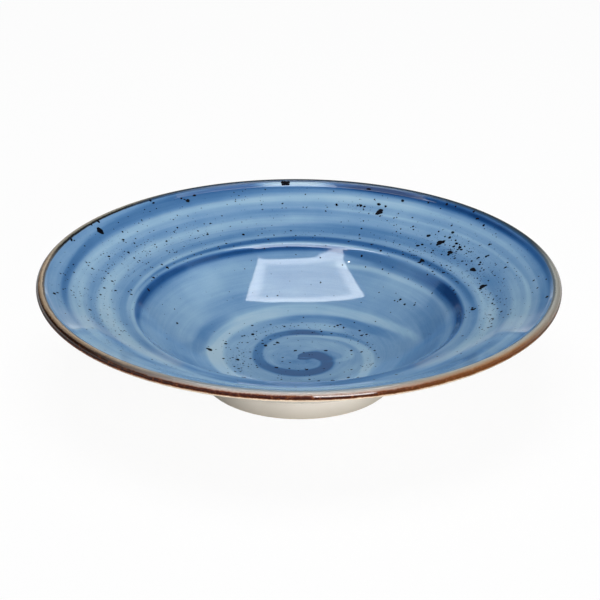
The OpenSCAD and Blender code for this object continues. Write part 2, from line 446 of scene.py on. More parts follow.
# %% Strokes of the floor: the pale spiral, and thin and thick glaze beside it
strokes.update({
    "pale spiral of the well": [
        (-650, 66.5, 1.6, 0.0), (-630, 63.8, 1.9, 0.35), (-612, 58.3, 2.4, 0.5),
        (-600, 55.5, 2.7, 0.65), (-589, 53.7, 3.0, 0.7), (-577, 52.5, 3.2, 0.75),
        (-564, 51.8, 3.6, 0.7), (-552, 51.4, 4.0, 0.65), (-540, 51.0, 4.3, 0.65),
        (-517, 49.0, 4.4, 0.65), (-502, 47.6, 4.3, 0.7), (-488, 46.5, 4.2, 0.8),
        (-473, 45.7, 4.3, 0.9), (-460, 44.9, 4.5, 0.95), (-446, 44.4, 4.5, 0.95),
        (-432, 44.1, 4.3, 0.9), (-413, 44.2, 4.0, 0.85), (-360, 43.6, 3.2, 0.6),
        (-307, 42.0, 3.0, 0.6), (-297, 39.6, 3.0, 0.65), (-288, 38.7, 3.0, 0.65),
        (-275, 37.4, 3.0, 0.6), (-263, 36.4, 2.7, 0.6), (-250, 34.9, 2.4, 0.6),
        (-234, 33.0, 2.1, 0.6), (-217, 30.0, 1.8, 0.6), (-199, 27.6, 1.5, 0.55),
        (-180, 26.8, 1.4, 0.35), (-157, 25.6, 1.2, 0.0)],
    "shade inside the pale spiral": [
        (-270, 56.0, 2.0, 0.0), (-250, 51.5, 2.6, -0.3), (-235, 47.8, 3.4, -0.4),
        (-220, 46.0, 3.6, -0.45), (-199, 44.6, 3.4, -0.5), (-180, 43.2, 3.0, -0.45),
        (-160, 41.4, 2.4, -0.25), (-140, 39.6, 2.0, 0.0)],
    "pale front of the floor": [
        (-40, 50.0, 4.0, 0.0), (-15, 50.0, 5.0, 0.6), (15, 50.0, 5.0, 0.65), (40, 40.0, 7.0, 0.4),
        (75, 38.0, 7.0, 0.3), (100, 38.0, 5.0, 0.0)],
    "pale back of the floor": [
        (135, 37.0, 5.0, 0.0), (155, 38.0, 6.5, 0.45), (175, 38.0, 6.0, 0.4),
        (190, 36.0, 5.0, 0.0)],
    "thin glaze of the floor": [
        (-185, 36.0, 18.0, 0.0), (-165, 36.0, 20.0, 0.16), (-120, 36.0, 24.0, 0.3),
        (-75, 34.0, 22.0, 0.26), (-45, 30.0, 18.0, 0.15), (0, 20.0, 12.0, 0.2),
        (60, 20.0, 12.0, 0.15), (120, 20.0, 12.0, 0.0)],
})
print(len(strokes), "strokes on the floor")

# %% Strokes of the wall of the well
strokes.update({
    "shade of the right wall": [
        (45, 64.0, 6.0, 0.0), (70, 66.0, 9.0, -0.65), (92, 71.0, 7.5, -0.55),
        (120, 71.0, 5.0, -0.2), (140, 70.0, 4.0, 0.0)],
    "shade of the left wall": [
        (-140, 52.0, 4.0, 0.0), (-115, 51.5, 5.5, -0.75), (-95, 52.0, 5.0, -0.45),
        (-80, 60.0, 6.0, -0.2), (-60, 68.0, 9.0, -0.5), (-40, 70.0, 10.0, -0.6),
        (-20, 70.0, 8.0, 0.0)],
    # Partly paler glaze and partly painted reflection: paler where the wall mirrors the left side
    # card
    "pale glaze and painted card reflection of the left wall": [
        (-175, 73.0, 6.0, 0.0), (-155, 72.0, 8.0, 0.35), (-130, 70.0, 10.0, 0.42),
        (-105, 69.0, 9.0, 0.25), (-85, 68.0, 7.0, 0.0)],
    "shade of the front wall": [
        (15, 66.0, 8.0, 0.0), (35, 68.0, 9.0, -0.45), (60, 70.0, 8.0, -0.3),
        (80, 72.0, 6.0, 0.0)],
    "shade at the back left of the wall": [
        (-165, 61.0, 4.0, 0.0), (-140, 61.5, 6.0, -0.35), (-118, 62.0, 5.0, 0.0)],
    # Painted highlight: a pale line where the wall at the right mirrors the edge of something
    # bright
    "painted highlight line on the right wall": [
        (88, 79.0, 0.8, 0.0), (100, 79.2, 0.9, 0.35), (120, 79.0, 1.0, 0.6),
        (136, 78.6, 1.0, 0.7), (150, 78.8, 1.0, 0.7), (160, 78.2, 0.9, 0.6),
        (168, 78.0, 0.8, 0.0)],
    # Partly paler glaze and partly painted reflection: paler where the wall mirrors the right side
    # card
    "pale glaze and painted card reflection of the right wall": [
        (105, 70.0, 5.0, 0.0), (122, 72.0, 6.0, 0.25), (138, 72.0, 6.5, 0.25),
        (150, 72.0, 5.0, 0.1), (160, 72.0, 4.0, 0.0)],
})
print(len(strokes), "strokes up to the ridge")

# %% Strokes along the ridge
strokes.update({
    "navy line under the ridge": [
        (-182, 84.6, 1.0, -1.9), (-160, 84.6, 1.2, -2.0), (-135, 84.7, 1.5, -2.0),
        (-110, 84.6, 1.9, -1.95), (-95, 84.8, 1.6, -1.9), (-86, 85.1, 1.3, -1.6),
        (-76, 85.4, 1.0, -0.7), (-60, 85.6, 0.8, -0.3), (0, 85.6, 0.9, -0.6),
        (60, 85.0, 1.6, -1.0), (72, 84.5, 2.2, -1.8), (85, 84.4, 2.4, -2.1),
        (97, 84.4, 2.4, -2.1), (113, 84.0, 2.7, -2.2), (118, 83.9, 2.4, -1.9),
        (124, 83.4, 2.4, -1.4), (145, 83.4, 2.4, -0.9), (158, 84.2, 1.6, -1.1),
        (170, 84.8, 1.0, -1.7), (178, 84.6, 1.0, -1.9)],
    "pale line on the ridge": [
        (-180, 87.2, 0.9, 0.6), (-130, 87.2, 0.9, 0.5), (-90, 87.0, 1.2, 0.6),
        (-60, 87.4, 1.6, 0.3), (0, 87.2, 1.4, 0.0), (60, 87.6, 1.4, 0.2), (100, 87.4, 1.0, 0.3),
        (130, 87.3, 0.9, 0.4), (180, 87.2, 0.9, 0.6)],
    "dark line outside the ridge": [
        (85, 91.6, 1.3, 0.0), (100, 91.5, 1.5, -0.7), (120, 91.1, 1.6, -1.2),
        (150, 90.9, 1.9, -1.5), (180, 90.8, 2.0, -1.6), (200, 89.7, 1.8, -1.5),
        (220, 89.0, 1.3, -1.0), (240, 88.4, 1.2, -0.7), (255, 87.9, 0.9, -0.3),
        (268, 87.6, 0.8, 0.0)],
    "shade at the right of the ridge": [
        (55, 93.0, 2.0, 0.0), (75, 93.4, 1.6, -0.35), (95, 93.0, 1.3, -0.3),
        (110, 92.6, 1.0, 0.0)],
})
print(len(strokes), "strokes up to the rim")

# %% Long arms and bands of the rim
strokes.update({
    "pale arm of the rim": [
        (-60, 130.0, 2.0, 0.3), (0, 128.0, 2.0, 0.4), (60, 125.5, 2.2, 0.45),
        (90, 124.6, 1.6, 0.4), (120, 124.4, 1.5, 0.35), (150, 123.6, 2.0, 0.55),
        (180, 122.0, 2.2, 0.65), (210, 121.0, 2.1, 0.6), (230, 119.4, 2.5, 0.6),
        (250, 118.0, 3.0, 0.5), (270, 117.0, 3.8, 0.6), (288, 115.6, 4.5, 0.7),
        (300, 114.6, 4.5, 0.6), (360, 110.5, 4.0, 0.5), (420, 106.0, 4.0, 0.5),
        (450, 100.0, 3.6, 0.5), (475, 97.4, 2.4, 0.4), (510, 95.6, 1.8, 0.3),
        (540, 94.0, 1.4, 0.1), (570, 92.0, 1.0, 0.3), (590, 91.2, 1.0, 0.5),
        (610, 90.4, 1.0, 0.5), (630, 89.6, 1.0, 0.3), (650, 89.0, 1.0, 0.0)],
    "second pale arm": [
        (-20, 124.0, 2.0, 0.3), (60, 120.5, 2.2, 0.5), (78, 120.2, 2.0, 0.65),
        (95, 119.9, 1.2, 0.55), (110, 118.4, 0.9, 0.4), (130, 117.0, 0.9, 0.35),
        (150, 115.6, 0.8, 0.35), (175, 114.8, 0.8, 0.2), (190, 114.5, 0.8, 0.0)],
    "third pale arm": [
        (105, 113.5, 1.5, 0.0), (130, 111.0, 2.0, 0.05), (150, 109.5, 2.4, 0.1),
        (180, 107.0, 2.8, 0.3), (205, 105.6, 2.8, 0.5), (230, 104.3, 2.8, 0.5),
        (260, 102.6, 3.6, 0.5), (280, 100.8, 4.4, 0.6), (300, 98.8, 4.8, 0.65),
        (360, 95.0, 4.0, 0.5), (400, 93.0, 3.0, 0.0)],
    "dark edge of the rim": [
        (80, 131.8, 0.7, 0.0), (95, 131.6, 0.9, -0.3), (120, 131.0, 1.5, -0.8),
        (150, 130.2, 2.4, -0.8), (180, 129.2, 3.2, -0.85), (210, 128.4, 3.9, -0.9),
        (228, 127.0, 3.6, -0.8), (240, 125.6, 3.0, -0.75), (255, 123.7, 2.1, -0.8),
        (270, 122.8, 1.6, -0.65), (285, 122.0, 1.3, -0.4), (300, 121.4, 1.2, -0.2),
        (330, 120.0, 1.2, 0.0)],
    "middle shade": [
        (60, 108.0, 3.0, 0.0), (90, 109.0, 3.6, -0.3), (105, 110.4, 3.2, -0.35),
        (120, 111.6, 2.4, -0.05), (140, 112.8, 1.8, 0.0), (160, 113.4, 1.6, -0.15),
        (180, 113.6, 1.7, -0.4), (205, 112.8, 1.7, -0.25), (225, 111.4, 1.9, -0.3),
        (240, 110.3, 2.0, -0.35), (260, 109.0, 2.2, -0.35), (280, 108.0, 2.0, -0.3),
        (310, 106.0, 2.0, -0.2), (340, 104.0, 2.0, 0.0)],
    "inner shade": [
        (85, 103.0, 3.0, 0.0), (100, 102.0, 5.0, -0.4), (130, 101.0, 5.5, -0.35),
        (150, 101.0, 5.0, -0.55), (170, 101.0, 4.4, -0.55), (185, 99.6, 2.8, -0.35),
        (200, 97.6, 2.4, -0.35), (215, 96.2, 2.0, -0.3), (232, 94.6, 1.5, -0.3),
        (250, 93.2, 1.6, -0.25), (270, 92.2, 2.2, -0.25), (290, 91.4, 2.4, -0.2),
        (320, 90.6, 2.0, 0.0)],
})
print(len(strokes), "strokes with the rim's long arms")

# %% Shorter strokes of the rim: along the lip, behind and at the left
strokes.update({
    "dark run along the lip": [
        (80, 131.5, 1.2, 0.0), (95, 131.6, 1.6, -0.8), (120, 131.4, 1.9, -1.3),
        (145, 131.4, 2.0, -1.4), (165, 131.6, 2.0, -1.7), (171, 131.4, 1.8, -1.0),
        (180, 131.0, 1.3, -0.3), (192, 131.4, 1.6, -0.8), (205, 131.4, 1.6, -0.6),
        (225, 131.0, 1.0, 0.0)],
    # Painted highlight: a white run where the softbox is mirrored just inside the lip behind
    "painted highlight inside the lip behind": [
        (171, 131.9, 0.9, 0.0), (174, 131.9, 1.1, 1.5), (182, 131.9, 1.2, 1.8),
        (189, 131.9, 1.1, 1.4), (192, 131.9, 0.9, 0.0)],
    "pale outer edge behind": [
        (140, 127.0, 2.0, 0.0), (155, 127.0, 2.6, 0.5), (175, 126.5, 2.6, 0.5),
        (195, 126.0, 2.0, 0.0)],
    "pale left rim": [
        (-185, 112.0, 6.0, 0.0), (-165, 116.0, 6.0, 0.12), (-130, 112.0, 8.0, 0.15),
        (-100, 111.0, 9.0, 0.22), (-70, 98.0, 8.0, 0.2), (-50, 96.0, 6.0, 0.0)],
    "shade of the left rim": [
        (-155, 121.0, 3.0, 0.0), (-130, 122.0, 3.5, -0.05), (-85, 122.5, 3.5, -0.2),
        (-65, 121.0, 3.0, 0.0)],
    "pale patch at the left front": [
        (-80, 122.0, 3.0, 0.0), (-60, 124.0, 5.0, 0.45), (-42, 125.0, 6.0, 1.1),
        (-25, 124.0, 4.0, 0.4), (-10, 122.0, 3.0, 0.0)],
})
print(len(strokes), "strokes with those at the left")

# %% Shorter strokes of the rim: in front and at the right
strokes.update({
    "dark pull at the front": [
        (-80, 92.0, 2.0, 0.0), (-45, 93.0, 3.0, -0.5), (-15, 96.0, 5.0, -1.3),
        (8, 93.5, 5.5, -1.1), (22, 91.0, 5.0, -1.0), (40, 89.0, 4.0, -0.9), (60, 88.0, 3.0, 0.0)],
    # Partly paler glaze and partly painted reflection: the rim in front mirrors the bowl behind it
    "pale pull and painted reflection at the front": [
        (-45, 105.0, 2.0, 0.0), (-15, 105.0, 3.0, 1.0), (0, 105.0, 3.4, 1.4),
        (20, 105.0, 3.0, 0.7), (45, 105.0, 2.0, 0.0)],
    "shade at the front": [
        (-45, 114.0, 3.5, 0.0), (-25, 115.0, 5.5, -0.75), (-8, 116.0, 6.0, -0.85),
        (15, 117.0, 6.0, -0.4), (35, 116.0, 5.0, 0.0)],
    "dark patch at the front right": [
        (15, 106.0, 5.0, 0.0), (35, 108.0, 6.0, -0.7), (50, 109.0, 7.0, -0.6),
        (65, 110.0, 6.0, 0.0)],
    "pale patch at the front right": [
        (22, 97.0, 3.0, 0.0), (38, 98.0, 3.5, 0.4), (52, 98.0, 3.5, 0.5), (70, 98.0, 3.0, 0.0)],
    "dark edge at the right front": [
        (40, 127.0, 3.0, 0.0), (60, 128.0, 3.0, -0.4), (90, 128.0, 3.0, -0.4),
        (110, 128.0, 3.0, 0.0)],
    "pale patch at the right": [
        (50, 98.0, 3.0, 0.0), (65, 98.5, 4.5, 0.45), (85, 98.5, 4.0, 0.35), (105, 98.0, 4.0, 0.2),
        (125, 98.0, 3.0, 0.0)],
    "pale patch of the right rim": [
        (60, 115.0, 3.0, 0.0), (75, 114.0, 4.0, 0.6), (90, 114.0, 4.0, 0.4),
        (105, 113.5, 4.0, 0.15), (125, 114.0, 4.0, 0.12), (150, 114.0, 4.0, 0.2),
        (165, 114.0, 3.5, 0.25), (182, 114.0, 3.0, 0.0)],
})
print("%d strokes with %d knots" % (len(strokes), sum(len(k) for k in strokes.values())))


# %% How pale or dark the brushed glaze is at a place
def smooth_between(knots, column, turned):
    """Values between knots on a smooth curve, so no knot shows as a kink."""
    angles = np.array([k[0] for k in knots], float)
    values = np.array([k[column] for k in knots], float)
    slopes = np.gradient(values, angles)
    i = np.clip(np.searchsorted(angles, turned) - 1, 0, len(angles) - 2)
    span = angles[i + 1] - angles[i]
    t = (turned - angles[i]) / span
    keep = (1 + 2 * t) * (1 - t) ** 2 * values[i] + t ** 2 * (3 - 2 * t) * values[i + 1]
    return keep + span * t * (1 - t) * ((1 - t) * slopes[i] - t * slopes[i + 1])


# A stroke is crisp on the level floor. On the slopes its edges run, the inner one more
floor_reach, floor_crispness, outer_crispness, inner_crispness = 56, 9, 6, 4
narrowest = 0.3


def painted(x, y):
    """The sum of all strokes at places x, y in millimetres."""
    reach, angle = np.hypot(x, y), np.degrees(np.arctan2(x, -y))
    tone = np.zeros_like(reach)
    for knots in strokes.values():
        first, last = knots[0][0], knots[-1][0]
        # A spiral may pass the same place on each of these turns
        for turn in range(-3, 3):
            turned = angle + 360 * turn
            on = (turned >= first) & (turned <= last)
            if not on.any():
                continue
            middle, half, strength = (smooth_between(knots, c, turned[on]) for c in (1, 2, 3))
            off = (reach[on] - middle) / np.maximum(half, narrowest)
            crispness = np.where(off > 0, outer_crispness, inner_crispness)
            crispness = np.where(reach[on] < floor_reach, floor_crispness, crispness)
            tone[on] += strength / (1 + np.abs(off) ** crispness)
    return tone


print("Tone in the middle of the comma: %.2f" % painted(np.array([9.0]), np.array([0.0]))[0])

# %% [markdown]
# ## Parts that the glazes share
# A glaze is glass over clay, so every coat is one glossy shader, with its colour under the
# gloss. What makes it look fired is unevenness: noise in the colour and in the height, at
# sizes taken from real ware. On a bowl that was brushed while it turned, noise has to be
# stretched round the axis. A painted picture could do that, but it would need a flat map.
# Here the noise reads the direction from the middle, which changes slowly round the bowl, and
# the distance from the middle, which changes quickly.

# %% A new material, noise that follows the brush, and a value that a pattern varies
def new_material(name):
    """A material with an empty tree."""
    material = bpy.data.materials.new(name)
    material.use_nodes = True
    material.node_tree.nodes.clear()
    return material, material.node_tree


def brush_frame(tree, cells_round, streak_w):
    """A vector for noise stretched round the axis, the place, and the distance from the axis."""
    place = add(tree, "ShaderNodeTexCoord").outputs["Object"]
    axes = add(tree, "ShaderNodeSeparateXYZ", {0: place}).outputs
    level = add(tree, "ShaderNodeCombineXYZ", {"X": axes["X"], "Y": axes["Y"]})
    reach = add(tree, "ShaderNodeVectorMath", {0: level}, operation="LENGTH").outputs["Value"]
    facing = add(tree, "ShaderNodeVectorMath", {0: level}, operation="NORMALIZE")
    spread = add(tree, "ShaderNodeVectorMath", {0: facing, 1: (cells_round,) * 3},
                 operation="MULTIPLY")
    across = add(tree, "ShaderNodeMath", {0: reach, 1: 1 / (streak_w * MM)}, operation="MULTIPLY")
    lifted = add(tree, "ShaderNodeCombineXYZ", {"Z": across})
    brushed = add(tree, "ShaderNodeVectorMath", {0: spread, 1: lifted}, operation="ADD")
    return brushed.outputs[0], place, reach


def varied(tree, value, pattern, amount):
    """The value, raised and lowered by a pattern that has its middle at a half."""
    centred = add(tree, "ShaderNodeMath", {0: pattern, 1: 0.5}, operation="SUBTRACT")
    return add(tree, "ShaderNodeMath", {0: centred, 1: amount, 2: value},
               operation="MULTIPLY_ADD").outputs[0]


print("Materials that came with the packed model:", len(bpy.data.materials))

# %% [markdown]
# ## The blue glaze
# Cobalt oxide colours the glaze, and it is pale where the brush left little. The tone of the
# strokes comes in as an attribute of the mesh. On top of it come streaks of the bristles, 1.3
# and 5 mm wide, clouds 17 mm wide, and a grain of 0.4 mm that stands for the grains of the
# body. The grain of real ware is finer than a pixel, so it is drawn as coarse as it can show.
# The ramp runs from thick, navy glaze to thin, milky glaze. In the floor the thick glaze has
# pooled and is greyer. The surface is a little uneven, as a glaze is after it has flowed in
# the kiln, so reflections have soft, wobbly edges. Just under the ridge it is thicker, where
# it slowed as it ran down, and at the lip behind it is drier, because it was wiped thin.

# %% Blue glaze: tone and patterns
blue, tree = new_material("Cobalt glaze, brushed on in turns")
brushed, place, reach = brush_frame(tree, cells_round=1.6, streak_w=1.3)
brushed_wide = brush_frame(tree, cells_round=1.2, streak_w=5.0)[0]
# Glaze that no stroke has touched lies here on the ramp, and a full stroke moves it this far
untouched, stroke_gain = 0.61, 0.27
tone = add(tree, "ShaderNodeAttribute", attribute_name="tone").outputs["Fac"]
level = add(tree, "ShaderNodeMath", {0: tone, 1: stroke_gain, 2: untouched},
            operation="MULTIPLY_ADD")
cloud_w, grain_w = 16.67, 0.4167
# Vector, cells in a unit of it, detail, roughness, and how much the pattern changes the tone
for vector, cells, detail, roughness, amount in (
        (brushed, 1, 4.0, 0.62, 0.14), (brushed_wide, 1, 2.0, 0.5, 0.14),
        (place, 1 / (cloud_w * MM), 3.0, 0.5, 0.16), (place, 1 / (grain_w * MM), 2.0, 0.6, 0.12)):
    pattern = add(tree, "ShaderNodeTexNoise", {
        "Vector": vector, "Scale": cells, "Detail": detail, "Roughness": roughness})
    level = varied(tree, level, pattern, amount)
print("The tone and its patterns take", len(tree.nodes), "nodes")

# %% Blue glaze: colour
def shown_where(tree, limits):
    """1 where each value is past its second limit, 0 short of its first, and soft between."""
    shown = 1.0
    for value, begins, full in limits:
        part = add(tree, "ShaderNodeMapRange", {
            "Value": value, "From Min": begins, "From Max": full}, interpolation_type="SMOOTHSTEP")
        shown = add(tree, "ShaderNodeMath", {0: part, 1: shown}, operation="MULTIPLY").outputs[0]
    return shown


# Thick glaze starts to look grey inside the first distance and is as grey as it gets inside
# the second
pool_r, grey_r = 46, 34
blue_ramp = add(tree, "ShaderNodeValToRGB", {"Fac": level}, [
    (0.0, "#123a6c"), (0.15, "#2c5a91"), (0.32, "#406b9b"), (0.48, "#5681ae"),
    (0.62, "#7399be"), (0.78, "#90b2cc"), (0.92, "#a8c3d4")])
pooled = shown_where(tree, [(level, 0.46, 0.26), (reach, pool_r * MM, grey_r * MM)])
blue_colour = add(tree, "ShaderNodeMix", {0: pooled, 6: blue_ramp, 7: linear("#48658f")},
                  data_type="RGBA").outputs[2]
print("The blue's colour takes", len(tree.nodes), "nodes")

# %% Blue glaze: surface
def surface(tree, colour, roughness, ior, bumps):
    """One glossy shader. A bump is a height from 0 to 1, and the millimetres that 1 stands for."""
    inputs = {"Base Color": colour, "Roughness": roughness, "IOR": ior}
    for height, size in bumps:
        raised = {"Height": height, "Strength": 1.0, "Distance": size * MM}
        if "Normal" in inputs:
            raised["Normal"] = inputs["Normal"]
        inputs["Normal"] = add(tree, "ShaderNodeBump", raised)
    shader = add(tree, "ShaderNodeBsdfPrincipled", inputs)
    add(tree, "ShaderNodeOutputMaterial", {"Surface": shader})


# How far the surface rises in slow waves, in ripples of the brush and where the glaze slowed
uneven_w, uneven_rise, ripple_rise, slowed_rise = 11.11, 0.035, 0.006, 0.072
slowed_from_r, slowed_to_r = 81.2, 85.1
uneven = add(tree, "ShaderNodeTexNoise", {
    "Vector": place, "Scale": 1 / (uneven_w * MM), "Detail": 2.0, "Roughness": 0.5})
ripple = add(tree, "ShaderNodeTexNoise", {
    "Vector": brushed, "Scale": 0.35, "Detail": 2.0, "Roughness": 0.5})
near_ridge = add(tree, "ShaderNodeMapRange", {
    "Value": reach, "From Min": slowed_from_r * MM, "From Max": slowed_to_r * MM})
thicker = add(tree, "ShaderNodeMath", {0: near_ridge, 1: near_ridge}, operation="MULTIPLY")
# Glossy glaze, up to nearly matt where it is dry
gloss, dry_gain = 0.05, 0.75
dry = add(tree, "ShaderNodeAttribute", attribute_name="dry").outputs["Fac"]
blue_rough = add(tree, "ShaderNodeMath", {0: dry, 1: dry_gain, 2: gloss},
                 operation="MULTIPLY_ADD")
surface(tree, blue_colour, blue_rough, ior=1.6,
        bumps=[(uneven, uneven_rise), (ripple, ripple_rise), (thicker, slowed_rise)])
print(blue.name, "has", len(tree.nodes), "nodes")

# %% [markdown]
# ## The brown lip
# The lip is banded last, with a brush full of iron glaze held against the turning edge. Iron
# glaze breaks: it is dark brown where it is thick and tan where it has run thin, and it runs
# into the blue. So the colour follows the distance across the band, with a ragged edge from
# two noises. One ramp all round would be simpler, but the real band changes on its way round:
# tan over dark brown at the left, red-brown in front, amber at the right and grey-brown
# behind. So a ramp for each side is mixed in by the direction from the bowl's middle, never
# by where the camera stands.

# %% Colours across the band, side by side
# Each side has the directions in which it shows, with where it begins and where it is full
to_right, to_left, to_back = (1, 0, 0), (-1, 0, 0), (0, 1, 0)
lip_sides = [
    ("left", [], [
        (0.0, "#6885a2"), (0.06, "#5c5c5c"), (0.12, "#625c56"), (0.165, "#b3a28e"),
        (0.22, "#ac9a84"), (0.31, "#8c765f"), (0.35, "#6a5340"), (0.385, "#28160a"),
        (0.64, "#2a0c03"), (0.71, "#8a4a2e"), (0.76, "#e0c8ac")]),
    ("front", [(to_right, -0.75, -0.15)], [
        (0.0, "#6f8fab"), (0.10, "#8399a8"), (0.28, "#7f8a91"), (0.34, "#8e9090"),
        (0.42, "#c4b8b2"), (0.47, "#b89f92"), (0.51, "#6c3422"), (0.55, "#3a0c02"),
        (0.665, "#320a02"), (0.71, "#94603e"), (0.755, "#fae6cc")]),
    ("right", [(to_right, 0.05, 0.60)], [
        (0.0, "#66809a"), (0.06, "#5e6c76"), (0.12, "#76828a"), (0.18, "#b0afa8"),
        (0.27, "#a39a8d"), (0.36, "#9b846c"), (0.43, "#906b4d"), (0.50, "#6f421e"),
        (0.56, "#643405"), (0.65, "#643608"), (0.71, "#8a603e"), (0.76, "#e8d4ba")]),
    ("far right", [(to_right, 0.72, 0.94)], [
        (0.0, "#66809a"), (0.06, "#5e6c76"), (0.12, "#6c7478"), (0.18, "#a9aaa4"),
        (0.30, "#989790"), (0.42, "#89867e"), (0.53, "#7c7468"), (0.60, "#4c3826"),
        (0.68, "#5a4128"), (0.76, "#e8d4ba")]),
    ("left behind", [(to_back, 0.1, 0.3), (to_left, 0.0, 0.3)], [
        (0.0, "#55677a"), (0.03, "#2a3038"), (0.08, "#1c1e1e"), (0.125, "#3a3a36"),
        (0.165, "#7c7a70"), (0.24, "#a39c8c"), (0.32, "#9a9080"), (0.42, "#5a4a3a"),
        (0.60, "#2a120a"), (0.80, "#d8c6ac")]),
    ("back", [((0.35, 1, 0), 0.36, 0.66)], [
        (0.0, "#2f5a8a"), (0.08, "#2c4a68"), (0.16, "#303e4a"), (0.40, "#3c3e42"),
        (0.60, "#3c2a22"), (0.80, "#d8c6ac")])]
print("The band's colour is mixed from", len(lip_sides), "sides")

# %% Brown glaze: the sides mixed round the bowl
brown, tree = new_material("Iron-brown banding glaze")
speckle_w = 1.111
round_lip, place, _ = brush_frame(tree, cells_round=14.0, streak_w=2.5)
wobble = add(tree, "ShaderNodeTexNoise", {
    "Vector": round_lip, "Scale": 1.0, "Detail": 4.0, "Roughness": 0.65})
speckle = add(tree, "ShaderNodeTexNoise", {
    "Vector": place, "Scale": 1 / (speckle_w * MM), "Detail": 3.0, "Roughness": 0.7})
# The length of the ramps across the band, and how ragged the brush and the iron make it
band_length, brush_ragged, iron_ragged = 10.4, 1.2, 1.0
along_lip = add(tree, "ShaderNodeAttribute", attribute_name="along").outputs["Fac"]
along_lip = varied(tree, along_lip, wobble, brush_ragged)
along_lip = varied(tree, along_lip, speckle, iron_ragged)
across_band = add(tree, "ShaderNodeMath", {0: along_lip, 1: band_length}, operation="DIVIDE")
facing = add(tree, "ShaderNodeVectorMath", {0: place}, operation="NORMALIZE")
for side, limits, stops in lip_sides:
    side_ramp = add(tree, "ShaderNodeValToRGB", {"Fac": across_band}, stops, label=side)
    side_colour = side_ramp.outputs[0]
    if not limits:
        lip_colour = side_colour
        continue
    shown = shown_where(tree, [
        (add(tree, "ShaderNodeVectorMath", {0: facing, 1: towards},
             operation="DOT_PRODUCT").outputs["Value"], begins, full)
        for towards, begins, full in limits])
    lip_colour = add(tree, "ShaderNodeMix", {0: shown, 6: lip_colour, 7: side_colour},
                     data_type="RGBA").outputs[2]
print("The mixed sides take", len(tree.nodes), "nodes")

# %% Brown glaze: rusty blotches, and a duller gloss towards the back
blotch_w, rust_share, duller, wobble_rise = 1.923, 0.55, 0.20, 0.05
blotches = add(tree, "ShaderNodeTexNoise", {
    "Vector": place, "Scale": 1 / (blotch_w * MM), "Detail": 3.0, "Roughness": 0.75})
rusty = shown_where(tree, [
    (blotches, 0.52, 0.66), (across_band, 0.40, 0.52), (across_band, 0.74, 0.66)])
rusty = add(tree, "ShaderNodeMath", {0: rusty, 1: rust_share}, operation="MULTIPLY")
lip_colour = add(tree, "ShaderNodeMix", {0: rusty, 6: lip_colour, 7: linear("#8f5230")},
                 data_type="RGBA").outputs[2]
backwards = add(tree, "ShaderNodeSeparateXYZ", {0: facing}).outputs["Y"]
lip_rough = add(tree, "ShaderNodeMath", {
    0: shown_where(tree, [(backwards, -0.6, 0.3)]), 1: duller, 2: gloss},
    operation="MULTIPLY_ADD")
surface(tree, lip_colour, lip_rough, ior=1.45, bumps=[(wobble, wobble_rise)])
print(brown.name, "has", len(tree.nodes), "nodes")

# %% [markdown]
# ## The clear glazes and the bare clay
# Under the rim the glaze is clear, so the pale body shows through it as cream. It has soft
# clouds 22 mm wide where it is thicker, and fine flecks of the body. Down the foot it is
# darker and greyer: painted shade, where less light reaches it near the table. The recess
# has the same glaze, poured. The ring that the bowl stands on is bare, or it would stick to
# the kiln shelf: sandy stoneware, matt, with grains of about half a millimetre.

# %% Cream glaze of the underside
cream, tree = new_material("Clear cream glaze")
cloud_w, cloud_rise, fleck_w = 22.22, 0.05, 0.7143
# Painted shade: darkest up to this height, and less and less dark up to that one
shade_full_h, shade_end_h = 1.0, 12.0
place = add(tree, "ShaderNodeTexCoord").outputs["Object"]
clouds = add(tree, "ShaderNodeTexNoise", {
    "Vector": place, "Scale": 1 / (cloud_w * MM), "Detail": 3.0, "Roughness": 0.55})
flecks = add(tree, "ShaderNodeTexNoise", {
    "Vector": place, "Scale": 1 / (fleck_w * MM), "Detail": 2.0, "Roughness": 0.6})
cream_ramp = add(tree, "ShaderNodeValToRGB", {"Fac": varied(tree, clouds, flecks, 0.35)}, [
    (0.25, "#eae4d9"), (0.5, "#f3ede4"), (0.75, "#f7f2ea")])
up = add(tree, "ShaderNodeSeparateXYZ", {0: place}).outputs["Z"]
out_of_shade = add(tree, "ShaderNodeMapRange", {
    "Value": up, "From Min": shade_full_h * MM, "From Max": shade_end_h * MM})
# The grey is the painted shade at the bottom of the foot
cream_colour = add(tree, "ShaderNodeMix", {0: out_of_shade, 6: linear("#c8c1b5"), 7: cream_ramp},
                   data_type="RGBA").outputs[2]
surface(tree, cream_colour, roughness=0.08, ior=1.55, bumps=[(clouds, cloud_rise)])
print(cream.name, "has", len(tree.nodes), "nodes")

# %% Glaze of the recess
recess, tree = new_material("Clear glaze in the foot ring")
cloud_w, cloud_rise = 14.29, 0.05
place = add(tree, "ShaderNodeTexCoord").outputs["Object"]
clouds = add(tree, "ShaderNodeTexNoise", {
    "Vector": place, "Scale": 1 / (cloud_w * MM), "Detail": 4.0, "Roughness": 0.6})
recess_ramp = add(tree, "ShaderNodeValToRGB", {"Fac": clouds}, [
    (0.3, "#cbc2b1"), (0.5, "#d8d0c0"), (0.7, "#dfd8ca")])
surface(tree, recess_ramp, roughness=0.1, ior=1.55, bumps=[(clouds, cloud_rise)])
print(recess.name, "has", len(tree.nodes), "nodes")

